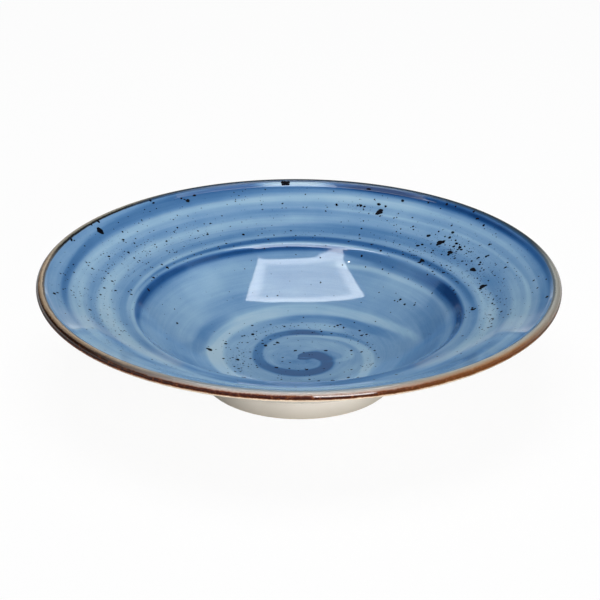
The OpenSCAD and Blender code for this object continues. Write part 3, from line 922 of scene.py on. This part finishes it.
# %% Bare clay
clay, tree = new_material("Fired stoneware, bare")
sand_w, sand_rise, patch_w = 0.5556, 0.15, 8.333
place = add(tree, "ShaderNodeTexCoord").outputs["Object"]
sand = add(tree, "ShaderNodeTexNoise", {
    "Vector": place, "Scale": 1 / (sand_w * MM), "Detail": 3.0, "Roughness": 0.7})
patchy = add(tree, "ShaderNodeTexNoise", {
    "Vector": place, "Scale": 1 / (patch_w * MM), "Detail": 3.0, "Roughness": 0.6})
clay_ramp = add(tree, "ShaderNodeValToRGB", {"Fac": varied(tree, patchy, sand, 0.8)}, [
    (0.2, "#a98f6e"), (0.5, "#cdbb9f"), (0.8, "#ddd0b8")])
surface(tree, clay_ramp, roughness=0.8, ior=1.5, bumps=[(sand, sand_rise)])
print(clay.name, "has", len(tree.nodes), "nodes")

# %% [markdown]
# ## Turning the coats
# Each coat is a shell between the finished surface and the clay, as thick as real glaze. A
# Solidify modifier could give the thickness too, but the section already has both sides, and
# so the coats meet edge to edge at the lip. The steps along the section are fine where a
# small radius turns, and every piece stays under 200,000 triangles. The body keeps its packed
# mesh and only gets its clay.

# %% Turn the coats
top_glaze = turn_coat("top_glaze", top_run, blue, step=0.7, clay_step=3.0)
lip_glaze = turn_coat("lip_glaze", lip_run, brown, step=0.2, clay_step=0.4)
underside_glaze = turn_coat("underside_glaze", under_run, cream, step=1.0, clay_step=1.5)
recess_glaze = turn_coat("recess_glaze", recess_run, recess, step=0.5, clay_step=0.5)
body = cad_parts["stoneware_body"]
body.data.materials.clear()
body.data.materials.append(clay)

# %% Lay the strokes on the blue glaze
mesh = top_glaze.data
corners = np.empty(len(mesh.vertices) * 3)
mesh.vertices.foreach_get("co", corners)
corners = corners.reshape(-1, 3) / MM
tones = painted(corners[:, 0], corners[:, 1])
mesh.attributes.new("tone", "FLOAT", "POINT").data.foreach_set("value", tones.astype(np.float32))
print("Tone runs from %.2f to %.2f" % (tones.min(), tones.max()))

# %% Where the glaze at the lip behind is dry
# From this far out and over this width, within so many degrees of the back, with a soft end
dry_from, dry_rise, dry_angle, dry_fade = 130.6, 0.6, 33, 5
# A run of wet glaze in the middle of it, so many degrees to each side and up to this far out
wet_angle, wet_reach = 8.5, 131.9
from_middle = np.hypot(corners[:, 0], corners[:, 1])
round_by = np.degrees(np.arctan2(corners[:, 0], -corners[:, 1]))
from_back = np.abs(round_by % 360 - 180)
dryness = np.clip((from_middle - dry_from) / dry_rise, 0, 1)
dryness *= np.clip((dry_angle - from_back) / dry_fade, 0, 1)
dryness[(from_back < wet_angle) & (from_middle < wet_reach)] = 0
mesh.attributes.new("dry", "FLOAT", "POINT").data.foreach_set("value", dryness.astype(np.float32))
print("Dry over %.1f%% of the corners" % (100 * np.mean(dryness > 0.5)))

# %% [markdown]
# ## The camera
# The bowl was photographed with a long lens, from about 25 degrees above the table. Fitting
# the outlines of the rim, the ridge and the foot gives the height, the distance and the
# slight roll. The camera comes before the specks, because the larger ones are placed by
# lines of sight through it.

# %% Camera
photo_side = 600
# Length of the lens in pixels of the photograph, and how far the picture is shifted
focal_px, shift_px = 2851.0, 1.15
eye_distance, eye_elevation, eye_roll, aim_h = 1500.0, 24.62, 0.42, 44.7
aim = Vector((0, 0, aim_h * MM))
up_angle = math.radians(eye_elevation)
towards_eye = Vector((0, -math.cos(up_angle), math.sin(up_angle)))
camera_data = bpy.data.cameras.new("Camera")
camera_data.sensor_width = 36
camera_data.lens = focal_px / photo_side * camera_data.sensor_width
camera_data.shift_x = shift_px / photo_side
camera = bpy.data.objects.new("Camera", camera_data)
bpy.context.scene.collection.objects.link(camera)
camera.location = aim + towards_eye * eye_distance * MM
camera.rotation_mode = "QUATERNION"
rolled = Quaternion((0, 0, 1), math.radians(eye_roll))
camera.rotation_quaternion = (-towards_eye).to_track_quat("-Z", "Y") @ rolled
bpy.context.scene.camera = camera
print("The lens is %.0f mm long, and the camera %.2f m above the table"
      % (camera_data.lens, camera.location.z))

# %% [markdown]
# ## Iron specks
# The clay holds grains of iron that melt and break through the glaze in the kiln. The larger
# ones are placed where the photograph shows them: a line of sight through a pixel is followed
# to the glaze. Their numbers are the pixel and the size in millimetres. The fine ones are
# scattered by chance, more of them where the photograph has more.

# %% Larger specks of the rim, at the back and left, by pixel and size
specks = {"back and left of the rim": [
    (282, 182, 1.6), (284, 182, 1.6), (286, 182, 1.6), (288, 182, 1.5), (283, 184, 1.6),
    (285, 184, 1.7), (287, 184, 1.6), (150, 200, 2.6), (153, 203, 1.2), (181, 198, 1.0),
    (187, 200, 1.8), (184, 199, 0.9), (194, 195, 1.3), (99, 230, 3.2), (101, 232, 2.2),
    (98, 221, 2.4), (91, 224, 1.6), (71, 239, 2.4), (69, 237, 1.3), (74, 240, 0.9),
    (123, 239, 0.9), (128, 252, 1.2), (135, 238, 0.7), (177, 227, 0.9), (167, 267, 1.3),
    (174, 252, 0.6), (207, 234, 1.0), (203, 235, 0.6), (243, 234, 1.2), (262, 209, 0.7),
    (261, 204, 0.6), (282, 203, 0.9), (210, 223, 0.8), (137, 231, 0.6), (118, 222, 0.6),
    (54, 293, 1.6), (57, 292, 1.0), (60, 273, 0.8), (63, 273, 0.6), (60, 262, 0.6),
    (73, 264, 0.8), (86, 262, 0.8), (92, 268, 1.0), (88, 265, 0.6), (131, 294, 1.0),
    (128, 291, 0.7), (148, 262, 0.7), (111, 299, 0.6), (88, 320, 0.9), (75, 297, 0.6),
    (143, 191, 0.7), (156, 208, 0.6), (144, 209, 0.6), (119, 334, 0.8), (124, 330, 0.7)
]}
print(len(specks["back and left of the rim"]), "specks at the back and left of the rim")

# %% Larger specks of the rim, at the right
specks["right of the rim"] = [
    (368, 189, 1.9), (402, 200, 1.3), (428, 202, 1.1), (446, 204, 1.3), (440, 208, 0.7),
    (455, 206, 0.8), (473, 211, 2.0), (477, 218, 1.5), (483, 225, 1.2), (451, 225, 0.9),
    (357, 205, 1.1), (360, 205, 1.3), (364, 206, 1.0), (379, 212, 2.9), (380, 210, 1.8),
    (379, 204, 1.0), (385, 206, 1.2), (374, 199, 0.7), (398, 213, 0.6), (412, 217, 0.7),
    (413, 229, 0.7), (428, 235, 1.7), (438, 231, 0.9), (452, 232, 1.4), (449, 237, 1.3),
    (440, 242, 2.8), (443, 241, 1.6), (437, 244, 1.5), (450, 252, 2.2), (448, 254, 1.5),
    (456, 243, 1.5), (459, 247, 1.6), (453, 246, 1.3), (461, 249, 1.1), (457, 249, 1.0),
    (455, 240, 0.9), (464, 246, 0.8), (479, 245, 0.6), (417, 245, 1.5), (422, 260, 1.9),
    (419, 262, 1.3), (429, 265, 0.8), (431, 252, 0.9), (433, 250, 0.8), (441, 254, 0.8),
    (443, 272, 1.3), (446, 265, 0.8), (450, 270, 0.8), (472, 269, 2.4), (474, 270, 1.4),
    (478, 257, 1.0), (479, 264, 1.1), (466, 264, 0.9), (505, 267, 1.2), (507, 262, 0.8),
    (472, 309, 1.6), (482, 286, 2.7), (485, 285, 1.6), (480, 288, 1.5), (488, 280, 0.8),
    (533, 280, 1.0), (538, 276, 0.7), (555, 292, 0.8), (488, 297, 0.8), (492, 303, 0.9),
    (497, 308, 0.9), (494, 304, 0.7), (492, 318, 1.2), (501, 311, 1.1), (510, 309, 0.7),
    (488, 327, 0.9), (491, 323, 0.8), (348, 241, 0.8), (371, 244, 0.9), (361, 228, 0.9),
    (359, 234, 0.7), (400, 233, 0.6), (306, 207, 0.6), (336, 205, 0.7)
]
print(len(specks["right of the rim"]), "specks at the right of the rim")

# %% Larger specks of the well
specks["well"] = [
    (453, 290, 0.9), (400, 299, 1.2), (404, 304, 1.1), (394, 300, 0.7), (397, 301, 0.6),
    (320, 282, 0.7), (277, 295, 0.7), (209, 349, 2.1), (207, 348, 1.2), (225, 343, 1.3),
    (237, 359, 1.5), (223, 358, 1.1), (232, 357, 0.8), (243, 377, 1.8), (252, 325, 0.9),
    (244, 335, 0.8), (270, 324, 0.8), (284, 326, 0.9), (303, 317, 0.6), (265, 345, 1.7),
    (262, 343, 1.0), (277, 342, 1.6), (274, 344, 1.0), (276, 367, 1.4), (289, 368, 0.8),
    (282, 357, 0.8), (282, 361, 0.8), (270, 339, 0.9), (250, 358, 0.9), (254, 359, 0.7),
    (248, 366, 0.8), (234, 366, 0.9), (238, 368, 0.9), (240, 371, 0.8), (235, 371, 0.7),
    (256, 365, 0.8), (247, 342, 0.7), (281, 379, 0.8), (325, 350, 1.3), (351, 350, 1.2),
    (351, 354, 0.6), (306, 369, 1.2), (332, 380, 1.6), (348, 377, 1.3), (357, 377, 1.0),
    (309, 379, 1.0), (351, 369, 0.9), (303, 352, 0.7), (337, 325, 1.1), (340, 324, 0.8),
    (343, 327, 1.0), (359, 330, 1.0), (361, 335, 1.1), (366, 334, 1.0), (370, 347, 0.8),
    (374, 350, 0.9), (375, 321, 0.6), (354, 322, 0.7), (321, 331, 0.9), (312, 332, 0.7),
    (331, 333, 0.8), (367, 342, 0.8), (378, 357, 0.8), (362, 366, 0.6), (298, 325, 0.6),
    (256, 331, 0.6), (217, 372, 0.7), (230, 349, 0.6), (243, 352, 0.6), (229, 333, 0.6)
]
print(len(specks["well"]), "specks in the well")


# %% Follow each line of sight to the glaze
def surface_of(*pieces):
    """The pieces' faces, to follow lines of sight to."""
    shells = bmesh.new()
    for piece in pieces:
        shells.from_mesh(piece.data)
    found = BVHTree.FromBMesh(shells)
    shells.free()
    return found


def seen_at(faces, x, y):
    """Where the line of sight through pixel x, y meets the faces, and which way they face."""
    across = (x + 0.5 - photo_side / 2 + shift_px) / focal_px
    upwards = (photo_side / 2 - y - 0.5) / focal_px
    sight = (camera.rotation_quaternion @ Vector((across, upwards, -1))).normalized()
    return faces.ray_cast(camera.location, sight)[:2]


upper_side = surface_of(top_glaze, lip_glaze)
# The sizes were read off a soft picture, so they are drawn larger by this much
size_gain = 1.6
# A speck on the lip leans with it and reaches up by this share of its size. It has to end
# this far under the top of the bowl, unless it is already of the least size
reach_up, top_gap, least_size = 0.62, 0.1, 0.4
# Its middle lies at least this far under the top
under_top = 0.035
spots, missed = [], 0
for x, y, size in (one for patch in specks.values() for one in patch):
    place, normal = seen_at(upper_side, x, y)
    if place is None:
        missed += 1
        continue
    lean = math.sqrt(max(1 - normal.z ** 2, 1e-6))
    room_above = (cad_high.z - place.z) / MM - top_gap
    place.z = min(place.z, cad_high.z - under_top * MM)
    largest = max(least_size, room_above / (reach_up * lean))
    spots.append((place, normal, min(size_gain * size, largest)))
print("%d larger specks placed, %d off the glaze" % (len(spots), missed))

# %% How thickly the fine specks lie
chance = np.random.default_rng(27)
# Degrees round from the front, distance from the middle, how far it spreads both ways, gain
crowds = [
    (-110, 108, 34, 12, 2.2), (-140, 100, 22, 12, 1.2), (122, 103, 20, 15, 5.5),
    (85, 103, 16, 8, 2.4), (160, 117, 10, 5, 3.0), (-75, 104, 14, 12, 1.6),
    (-82, 34, 40, 7, 3.5), (-150, 34, 40, 5, 1.6), (130, 38, 35, 4, 2.2),
    (75, 40, 25, 3, 2.0), (170, 94, 30, 3, 1.0)]
# How thickly they lie outside the crowds, and where the floor and the wall of the well end
on_floor, on_wall, on_rim = 0.5, 0.10, 0.35
floor_end_r, wall_end_r = 42, 86


def crowding(angle, reach):
    """Few specks on the wall of the well, some on the floor and the rim, more in the crowds."""
    thickly = on_floor if reach < floor_end_r else on_wall if reach < wall_end_r else on_rim
    for middle, out, wide, deep, gain in crowds:
        turned = (angle - middle + 180) % 360 - 180
        thickly += gain * math.exp(-(turned / wide) ** 2 - ((reach - out) / deep) ** 2)
    return thickly


print("Crowding in the thickest place: %.2f" % crowding(122, 103))

# %% Scatter the fine specks
# How many specks there are in all, how far out they lie, and the crowding that lets all stay
speck_count, speck_reach, thickest = 2500, 131, 4.5
# The least size of a fine speck, and what chance adds to it on average
smallest, usual_growth = 0.28, 0.28
# The slope that a speck lies on is taken over this distance
look_ahead = 0.5
line_r, line_z = top_line[:, 0], top_line[:, 1]
while len(spots) < speck_count:
    x, y = chance.uniform(-speck_reach, speck_reach, 2)
    reach = math.hypot(x, y)
    angle = math.degrees(math.atan2(x, -y))
    if reach > speck_reach or chance.uniform(0, thickest) > crowding(angle, reach):
        continue
    z, ahead = np.interp([reach, reach + look_ahead], line_r, line_z)
    tilt = math.atan2(ahead - z, look_ahead)
    inwards = -math.sin(tilt) / reach
    normal = Vector((inwards * x, inwards * y, math.cos(tilt)))
    size = smallest + usual_growth * chance.exponential()
    spots.append((Vector((x, y, z)) * MM, normal, size))
print(len(spots), "specks in all")

# %% [markdown]
# ## Specks as instances
# Thousands of specks are too many to model one by one. Six irregular drops are made once, and
# a Geometry Nodes tree sets them on points, each with its own shape, size and turn, which it
# reads from attributes of the points. They are solid, closed drops and not paint, so they
# catch the light at their edges and show in the plain meshes as well.

# %% Speck shapes
# A drop's radius, how far each of its waves moves the edge, and how narrow it may be
drop_r, wave, narrow = 0.5, 0.1, 0.75
# The bottom, the shoulder and the top of a drop: share of its radius, and height
drop_rings = [(1.0, -0.02), (0.97, 0.008), (0.66, 0.018)]


def speck_shape(name, sides):
    """A thin irregular drop, 1 mm across, closed underneath."""
    angles = np.arange(sides) * math.tau / sides
    edge = drop_r + sum(chance.uniform(-wave, wave) * np.cos(k * angles + chance.uniform(0, 6))
                        for k in (1, 2, 3, 4))
    stretch = chance.uniform(narrow, 1.0)
    points = [(share * e * math.cos(a), share * e * math.sin(a) * stretch, z)
              for share, z in drop_rings for e, a in zip(edge, angles)]
    faces = [tuple(range(sides))[::-1], tuple(range(2 * sides, 3 * sides))]
    for k in range(2):
        for i in range(sides):
            j = (i + 1) % sides
            faces.append((k * sides + i, k * sides + j, (k + 1) * sides + j, (k + 1) * sides + i))
    shape = bpy.data.meshes.new(name)
    shape.from_pydata([(x * MM, y * MM, z * MM) for x, y, z in points], [], faces)
    return bpy.data.objects.new(name, shape)


shape_count, shape_sides = 6, 9
shapes = [speck_shape("speck_shape_%d" % k, shape_sides) for k in range(shape_count)]
print(len(shapes), "speck shapes of", len(shapes[0].data.polygons), "faces each")

# %% The tree that sets the specks on their points
sprinkle = new_tree("Iron specks", {"Iron": "NodeSocketMaterial"})
given = add(sprinkle, "NodeGroupInput").outputs
carried = {name: add(sprinkle, "GeometryNodeInputNamedAttribute", {"Name": name},
                     data_type=kind).outputs["Attribute"]
           for name, kind in (("shape", "INT"), ("size", "FLOAT"), ("rise", "FLOAT"),
                              ("turn", "FLOAT_VECTOR"))}
scale = add(sprinkle, "ShaderNodeCombineXYZ", {
    "X": carried["size"], "Y": carried["size"], "Z": carried["rise"]})
turn = add(sprinkle, "FunctionNodeEulerToRotation", {0: carried["turn"]})
together = add(sprinkle, "GeometryNodeJoinGeometry")
for k, shape in enumerate(shapes):
    chosen = add(sprinkle, "FunctionNodeCompare", {2: carried["shape"], 3: k},
                 data_type="INT", operation="EQUAL")
    form = add(sprinkle, "GeometryNodeObjectInfo", {"Object": shape})
    laid = add(sprinkle, "GeometryNodeInstanceOnPoints", {
        "Points": given["Geometry"], "Selection": chosen, "Instance": form.outputs["Geometry"],
        "Rotation": turn, "Scale": scale})
    sprinkle.links.new(laid.outputs[0], together.inputs[0])
realized = add(sprinkle, "GeometryNodeRealizeInstances", {"Geometry": together})
smooth = add(sprinkle, "GeometryNodeSetShadeSmooth", {
    "Geometry": realized, "Shade Smooth": True})
burnt_in = add(sprinkle, "GeometryNodeSetMaterial", {
    "Geometry": smooth, "Material": given["Iron"]})
add(sprinkle, "NodeGroupOutput", {"Geometry": burnt_in})
print("The speck tree has", len(sprinkle.nodes), "nodes")

# %% [markdown]
# ## The iron
# Iron from the clay turns to black oxide and melts into the glaze. It is nearly black with a
# touch of blue where the glaze covers it, and browner where it has broken through. Its skin
# is rough and swallows light, so its gloss is low and its IOR is far below that of glass: a
# speck this small would otherwise turn grey under the softbox.

# %% Iron
iron, tree = new_material("Iron melted into the glaze")
burnt_w, crust_w, crust_rise = 3.846, 0.4, 0.01
place = add(tree, "ShaderNodeTexCoord").outputs["Object"]
burnt = add(tree, "ShaderNodeTexNoise", {
    "Vector": place, "Scale": 1 / (burnt_w * MM), "Detail": 3.0, "Roughness": 0.6})
crust = add(tree, "ShaderNodeTexNoise", {
    "Vector": place, "Scale": 1 / (crust_w * MM), "Detail": 2.0, "Roughness": 0.5})
iron_ramp = add(tree, "ShaderNodeValToRGB", {"Fac": burnt}, [
    (0.35, "#01020a"), (0.60, "#04060e"), (0.78, "#120e10")])
surface(tree, iron_ramp, roughness=0.6, ior=1.15, bumps=[(crust, crust_rise)])
print(iron.name, "has", len(tree.nodes), "nodes")

# %% Set the specks in the glaze
# A larger drop is a little higher too, up to this many times the height of its shape
sunk, least_rise, rise_gain, highest = 0.004, 0.6, 0.4, 1.4
points = bpy.data.meshes.new("speck_points")
points.from_pydata([place - normal * sunk * MM for place, normal, _ in spots], [], [])
turns = []
for _, normal, _ in spots:
    spin = Quaternion((0, 0, 1), chance.uniform(0, math.tau))
    turns.extend((normal.to_track_quat("Z", "Y") @ spin).to_euler())
sizes = [size for _, _, size in spots]
rises = [min(highest, least_rise + rise_gain * size) for size in sizes]
chosen_shapes = chance.integers(0, len(shapes), len(spots))
for name, kind, key, values in (
        ("turn", "FLOAT_VECTOR", "vector", turns), ("size", "FLOAT", "value", sizes),
        ("rise", "FLOAT", "value", rises), ("shape", "INT", "value", chosen_shapes)):
    points.attributes.new(name, kind, "POINT").data.foreach_set(key, values)
iron_specks = made_by(sprinkle, "iron_specks", points, {"Iron": iron})
for shape in shapes:
    bpy.data.objects.remove(shape)
print("Specks:", sum(len(face.vertices) - 2 for face in iron_specks.data.polygons), "triangles")

# %% [markdown]
# ## Studio light
# A glossy bowl is a mirror of the studio, so the lamps are placed by their reflections. The
# pale shape in the well is a softbox overhead, with a hem that is brighter than its middle
# and a cloth that hangs in over its front edge. Two dim cards at the sides give the faint
# blue sheens of the rim, a strip box standing in front gives the white edge of the lip, and
# a small lamp gives one dot. The front softbox and the low card only fill the shadows: they
# don't show in the gloss. Each lamp's strength is given as its radiance, where 1 is the
# brightness of white paper, because that is what the gloss mirrors.

# %% A flat lamp
def softbox(name, centre, target, size, radiance, turned=0.0):
    """A flat lamp that shines evenly from its centre towards its target, in metres."""
    light = bpy.data.lights.new(name, "AREA")
    light.shape = "RECTANGLE"
    light.size, light.size_y = size
    light.energy = radiance * math.pi * size[0] * size[1]
    lamp = bpy.data.objects.new(name, light)
    bpy.context.scene.collection.objects.link(lamp)
    lamp.location = centre
    lamp.rotation_mode = "QUATERNION"
    aimed = (Vector(target) - Vector(centre)).to_track_quat("-Z", "Y")
    lamp.rotation_quaternion = Quaternion((0, 0, 1), math.radians(turned)) @ aimed
    print("%s: %.3g W" % (name, light.energy))
    return lamp


print("As bright as white paper takes %.2f W for each square metre" % math.pi)

# %% Lamps in front
front_azimuth, front_elevation, front_distance = math.radians(26), math.radians(15), 1.5
towards_front = Vector((math.sin(front_azimuth) * math.cos(front_elevation),
                        -math.cos(front_azimuth) * math.cos(front_elevation),
                        math.sin(front_elevation)))
front = softbox("Front softbox", centre=towards_front * front_distance, target=(0, 0, 0.03),
                size=(0.52, 0.56), radiance=12.6)
front.visible_glossy = False
low_card = softbox("Low card", centre=(-0.31, -1.16, 0.05), target=(0, 0, 0.01),
                   size=(0.8, 0.1), radiance=3.0)
low_card.visible_glossy = False
strip = softbox("Standing strip box", centre=(0.445, -1.36, 0.31), target=(0, 0, 0.05),
                size=(0.62, 0.6), radiance=22.0)
strip.visible_diffuse = False

# %% Cards at the sides, and the small lamp
sheen_blue = (0.62, 0.84, 1.0)
right_card = softbox("Right side card", centre=(0.80, 0.35, 1.0), target=(0.80, 0.35, 0),
                     size=(0.40, 0.80), radiance=0.5)
left_card = softbox("Left side card", centre=(-1.06, 0.68, 1.0), target=(-1.06, 0.68, 0),
                    size=(0.5, 1.15), radiance=0.5, turned=21)
for card in (right_card, left_card):
    card.data.color = sheen_blue
softbox("Small lamp", centre=(-0.402, -0.170, 1.0), target=(-0.402, -0.170, 0),
        size=(0.009, 0.009), radiance=70.0)

# %% The overhead softbox, with its bright hem and hanging cloth
box_x, box_y = 0.697, 0.69
overhead = softbox("Overhead softbox", centre=(-0.031, 0.0575, 1.0),
                   target=(-0.031, 0.0575, 0), size=(box_x, box_y), radiance=3.6, turned=3.7)
# The hem's width, the share of it over which it fades each way, and how much brighter it is
hem_w, hem_soft_share, hem_gain = 0.08, 0.4, 1.8
# How far the cloth hangs in over the front edge, at the left and at the right end
hang_left, hang_right = 0.003, 0.036
overhead.data.use_nodes = True
tree = overhead.data.node_tree
tree.nodes.clear()
spot = add(tree, "ShaderNodeNewGeometry").outputs["Parametric"]
spot = add(tree, "ShaderNodeSeparateXYZ", {0: spot}).outputs
hang = add(tree, "ShaderNodeMapRange", {
    "Value": spot["X"], "To Min": hang_left, "To Max": hang_right})
from_front = add(tree, "ShaderNodeMath", {0: spot["Y"], 1: box_y}, operation="MULTIPLY")
to_edge = add(tree, "ShaderNodeMath", {0: from_front, 1: hang}, operation="SUBTRACT")
for axis, size in (("X", box_x), ("Y", box_y)):
    off = add(tree, "ShaderNodeMath", {0: spot[axis], 1: 0.5}, operation="SUBTRACT")
    off = add(tree, "ShaderNodeMath", {0: off}, operation="ABSOLUTE")
    inside = add(tree, "ShaderNodeMath", {0: 0.5, 1: off}, operation="SUBTRACT")
    inside = add(tree, "ShaderNodeMath", {0: inside, 1: size}, operation="MULTIPLY")
    to_edge = add(tree, "ShaderNodeMath", {0: inside, 1: to_edge}, operation="MINIMUM")
hem = add(tree, "ShaderNodeMapRange", {
    "Value": to_edge, "From Min": hem_w * (1 - hem_soft_share),
    "From Max": hem_w * (1 + hem_soft_share), "To Min": hem_gain, "To Max": 1.0},
    interpolation_type="SMOOTHSTEP")
uncovered = add(tree, "ShaderNodeMath", {0: to_edge, 1: 0.0}, operation="GREATER_THAN")
shine = add(tree, "ShaderNodeMath", {0: hem, 1: uncovered}, operation="MULTIPLY")
shine = add(tree, "ShaderNodeEmission", {"Strength": shine})
add(tree, "ShaderNodeOutputLight", {"Surface": shine})
print("The hem is %.0f mm wide and %.1f times as bright" % (hem_w / MM, hem_gain))

# %% [markdown]
# ## The white surroundings
# The bowl stands on white studio paper, with white all round. More light on the bowl would
# whiten both, but the glaze would pale as well. So the white comes from the colour that the
# paper and the world show the camera. In the gloss the world is bright only near the horizon,
# as paper is that curves up behind, and dark above, so that the glaze keeps its colour. Near
# the bowl the paper is darker in the gloss, because the bowl's own shadow lies there.

# %% World
world = bpy.data.worlds.new("Studio")
bpy.context.scene.world = world
world.use_nodes = True
air = world.node_tree
air.nodes.clear()
white, ambient = (1, 1, 1, 1), (0.2, 0.2, 0.2, 1)
rays = add(air, "ShaderNodeLightPath").outputs
direction = add(air, "ShaderNodeTexCoord").outputs["Generated"]
height = add(air, "ShaderNodeSeparateXYZ", {0: direction}).outputs["Z"]
glow = add(air, "ShaderNodeValToRGB", {"Fac": height}, [
    (0.0, "#ffffff"), (0.03, "#ffffff"), (0.07, "#a6a6a6"), (0.13, "#9c9c9c"),
    (0.19, "#383838"), (0.30, "#262626")])
seen = add(air, "ShaderNodeMath", {0: rays["Is Camera Ray"], 1: rays["Is Transmission Ray"]},
           operation="MAXIMUM")
around = add(air, "ShaderNodeMix", {"Factor": rays["Is Diffuse Ray"], 6: glow, 7: ambient},
             data_type="RGBA").outputs[2]
backdrop = add(air, "ShaderNodeMix", {"Factor": seen, 6: around, 7: white},
               data_type="RGBA").outputs[2]
background = add(air, "ShaderNodeBackground", {"Color": backdrop, "Strength": 1.0})
add(air, "ShaderNodeOutputWorld", {"Surface": background})
print("The world has", len(air.nodes), "nodes")

# %% Floor
# Half of its side, and its height, just under the foot so that their faces don't coincide
half, drop = 4.0, -0.1 * MM
floor_mesh = bpy.data.meshes.new("floor")
floor_mesh.from_pydata([(-half, -half, drop), (half, -half, drop), (half, half, drop),
                        (-half, half, drop)], [], [(0, 1, 2, 3)])
floor = bpy.data.objects.new("floor", floor_mesh)
bpy.context.scene.collection.objects.link(floor)
print("The floor is %.0f m across" % (2 * half))

# %% Paper
paper, tree = new_material("White studio paper")
rays = add(tree, "ShaderNodeLightPath").outputs
place = add(tree, "ShaderNodeTexCoord").outputs["Object"]
from_bowl = add(tree, "ShaderNodeVectorMath", {0: place}, operation="LENGTH").outputs["Value"]
shaded = add(tree, "ShaderNodeMapRange", {
    "Value": from_bowl, "From Min": 0.2, "From Max": 0.8, "To Min": 0.85, "To Max": 0.0},
    interpolation_type="SMOOTHSTEP")
shaded = add(tree, "ShaderNodeMath", {0: shaded, 1: rays["Is Glossy Ray"]}, operation="MULTIPLY")
paper_colour = add(tree, "ShaderNodeMix", {0: shaded, 6: linear("#f4f4f4"), 7: linear("#303030")},
                   data_type="RGBA").outputs[2]
matt = add(tree, "ShaderNodeBsdfDiffuse", {"Color": paper_colour})
bright = add(tree, "ShaderNodeEmission", {"Color": white, "Strength": 1.0})
seen = add(tree, "ShaderNodeMath", {0: rays["Is Camera Ray"], 1: rays["Is Glossy Ray"]},
           operation="MAXIMUM")
seen = add(tree, "ShaderNodeMath", {0: seen, 1: rays["Is Transmission Ray"]}, operation="MAXIMUM")
# A little of the matt paper stays in the picture, and with it the bowl's shadow
own_white = add(tree, "ShaderNodeMath", {0: 0.93, 1: shaded}, operation="SUBTRACT")
own_white = add(tree, "ShaderNodeMath", {0: seen, 1: own_white}, operation="MULTIPLY")
paper_look = add(tree, "ShaderNodeMixShader", {0: own_white, 1: matt, 2: bright})
add(tree, "ShaderNodeOutputMaterial", {"Surface": paper_look})
floor_mesh.materials.append(paper)
print(paper.name, "has", len(tree.nodes), "nodes")

# %% How the picture is shown
# Standard shows white paper as white, where a view like film would turn it grey
view = bpy.context.scene.view_settings
view.view_transform = "Standard"
print("View transform:", view.view_transform)

# %% [markdown]
# ## Handing the pieces over
# Each coat replaces the imported solid that it was made after, and rides on the one body that
# the bowl has. The specks replace nothing and ride on the same body. They are of the same iron
# that colours the brown glaze. The imported solids stay in the scene, hidden.

# %% Ride and replace
for piece, node, slot in (
        (top_glaze, "blue_top_glaze", "blue_glaze"),
        (lip_glaze, "brown_lip_glaze", "brown_glaze"),
        (underside_glaze, "cream_underside_glaze", "cream_glaze"),
        (recess_glaze, "foot_recess_glaze", "recess_glaze")):
    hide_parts(node)
    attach(piece, "root")
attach(iron_specks, "root")
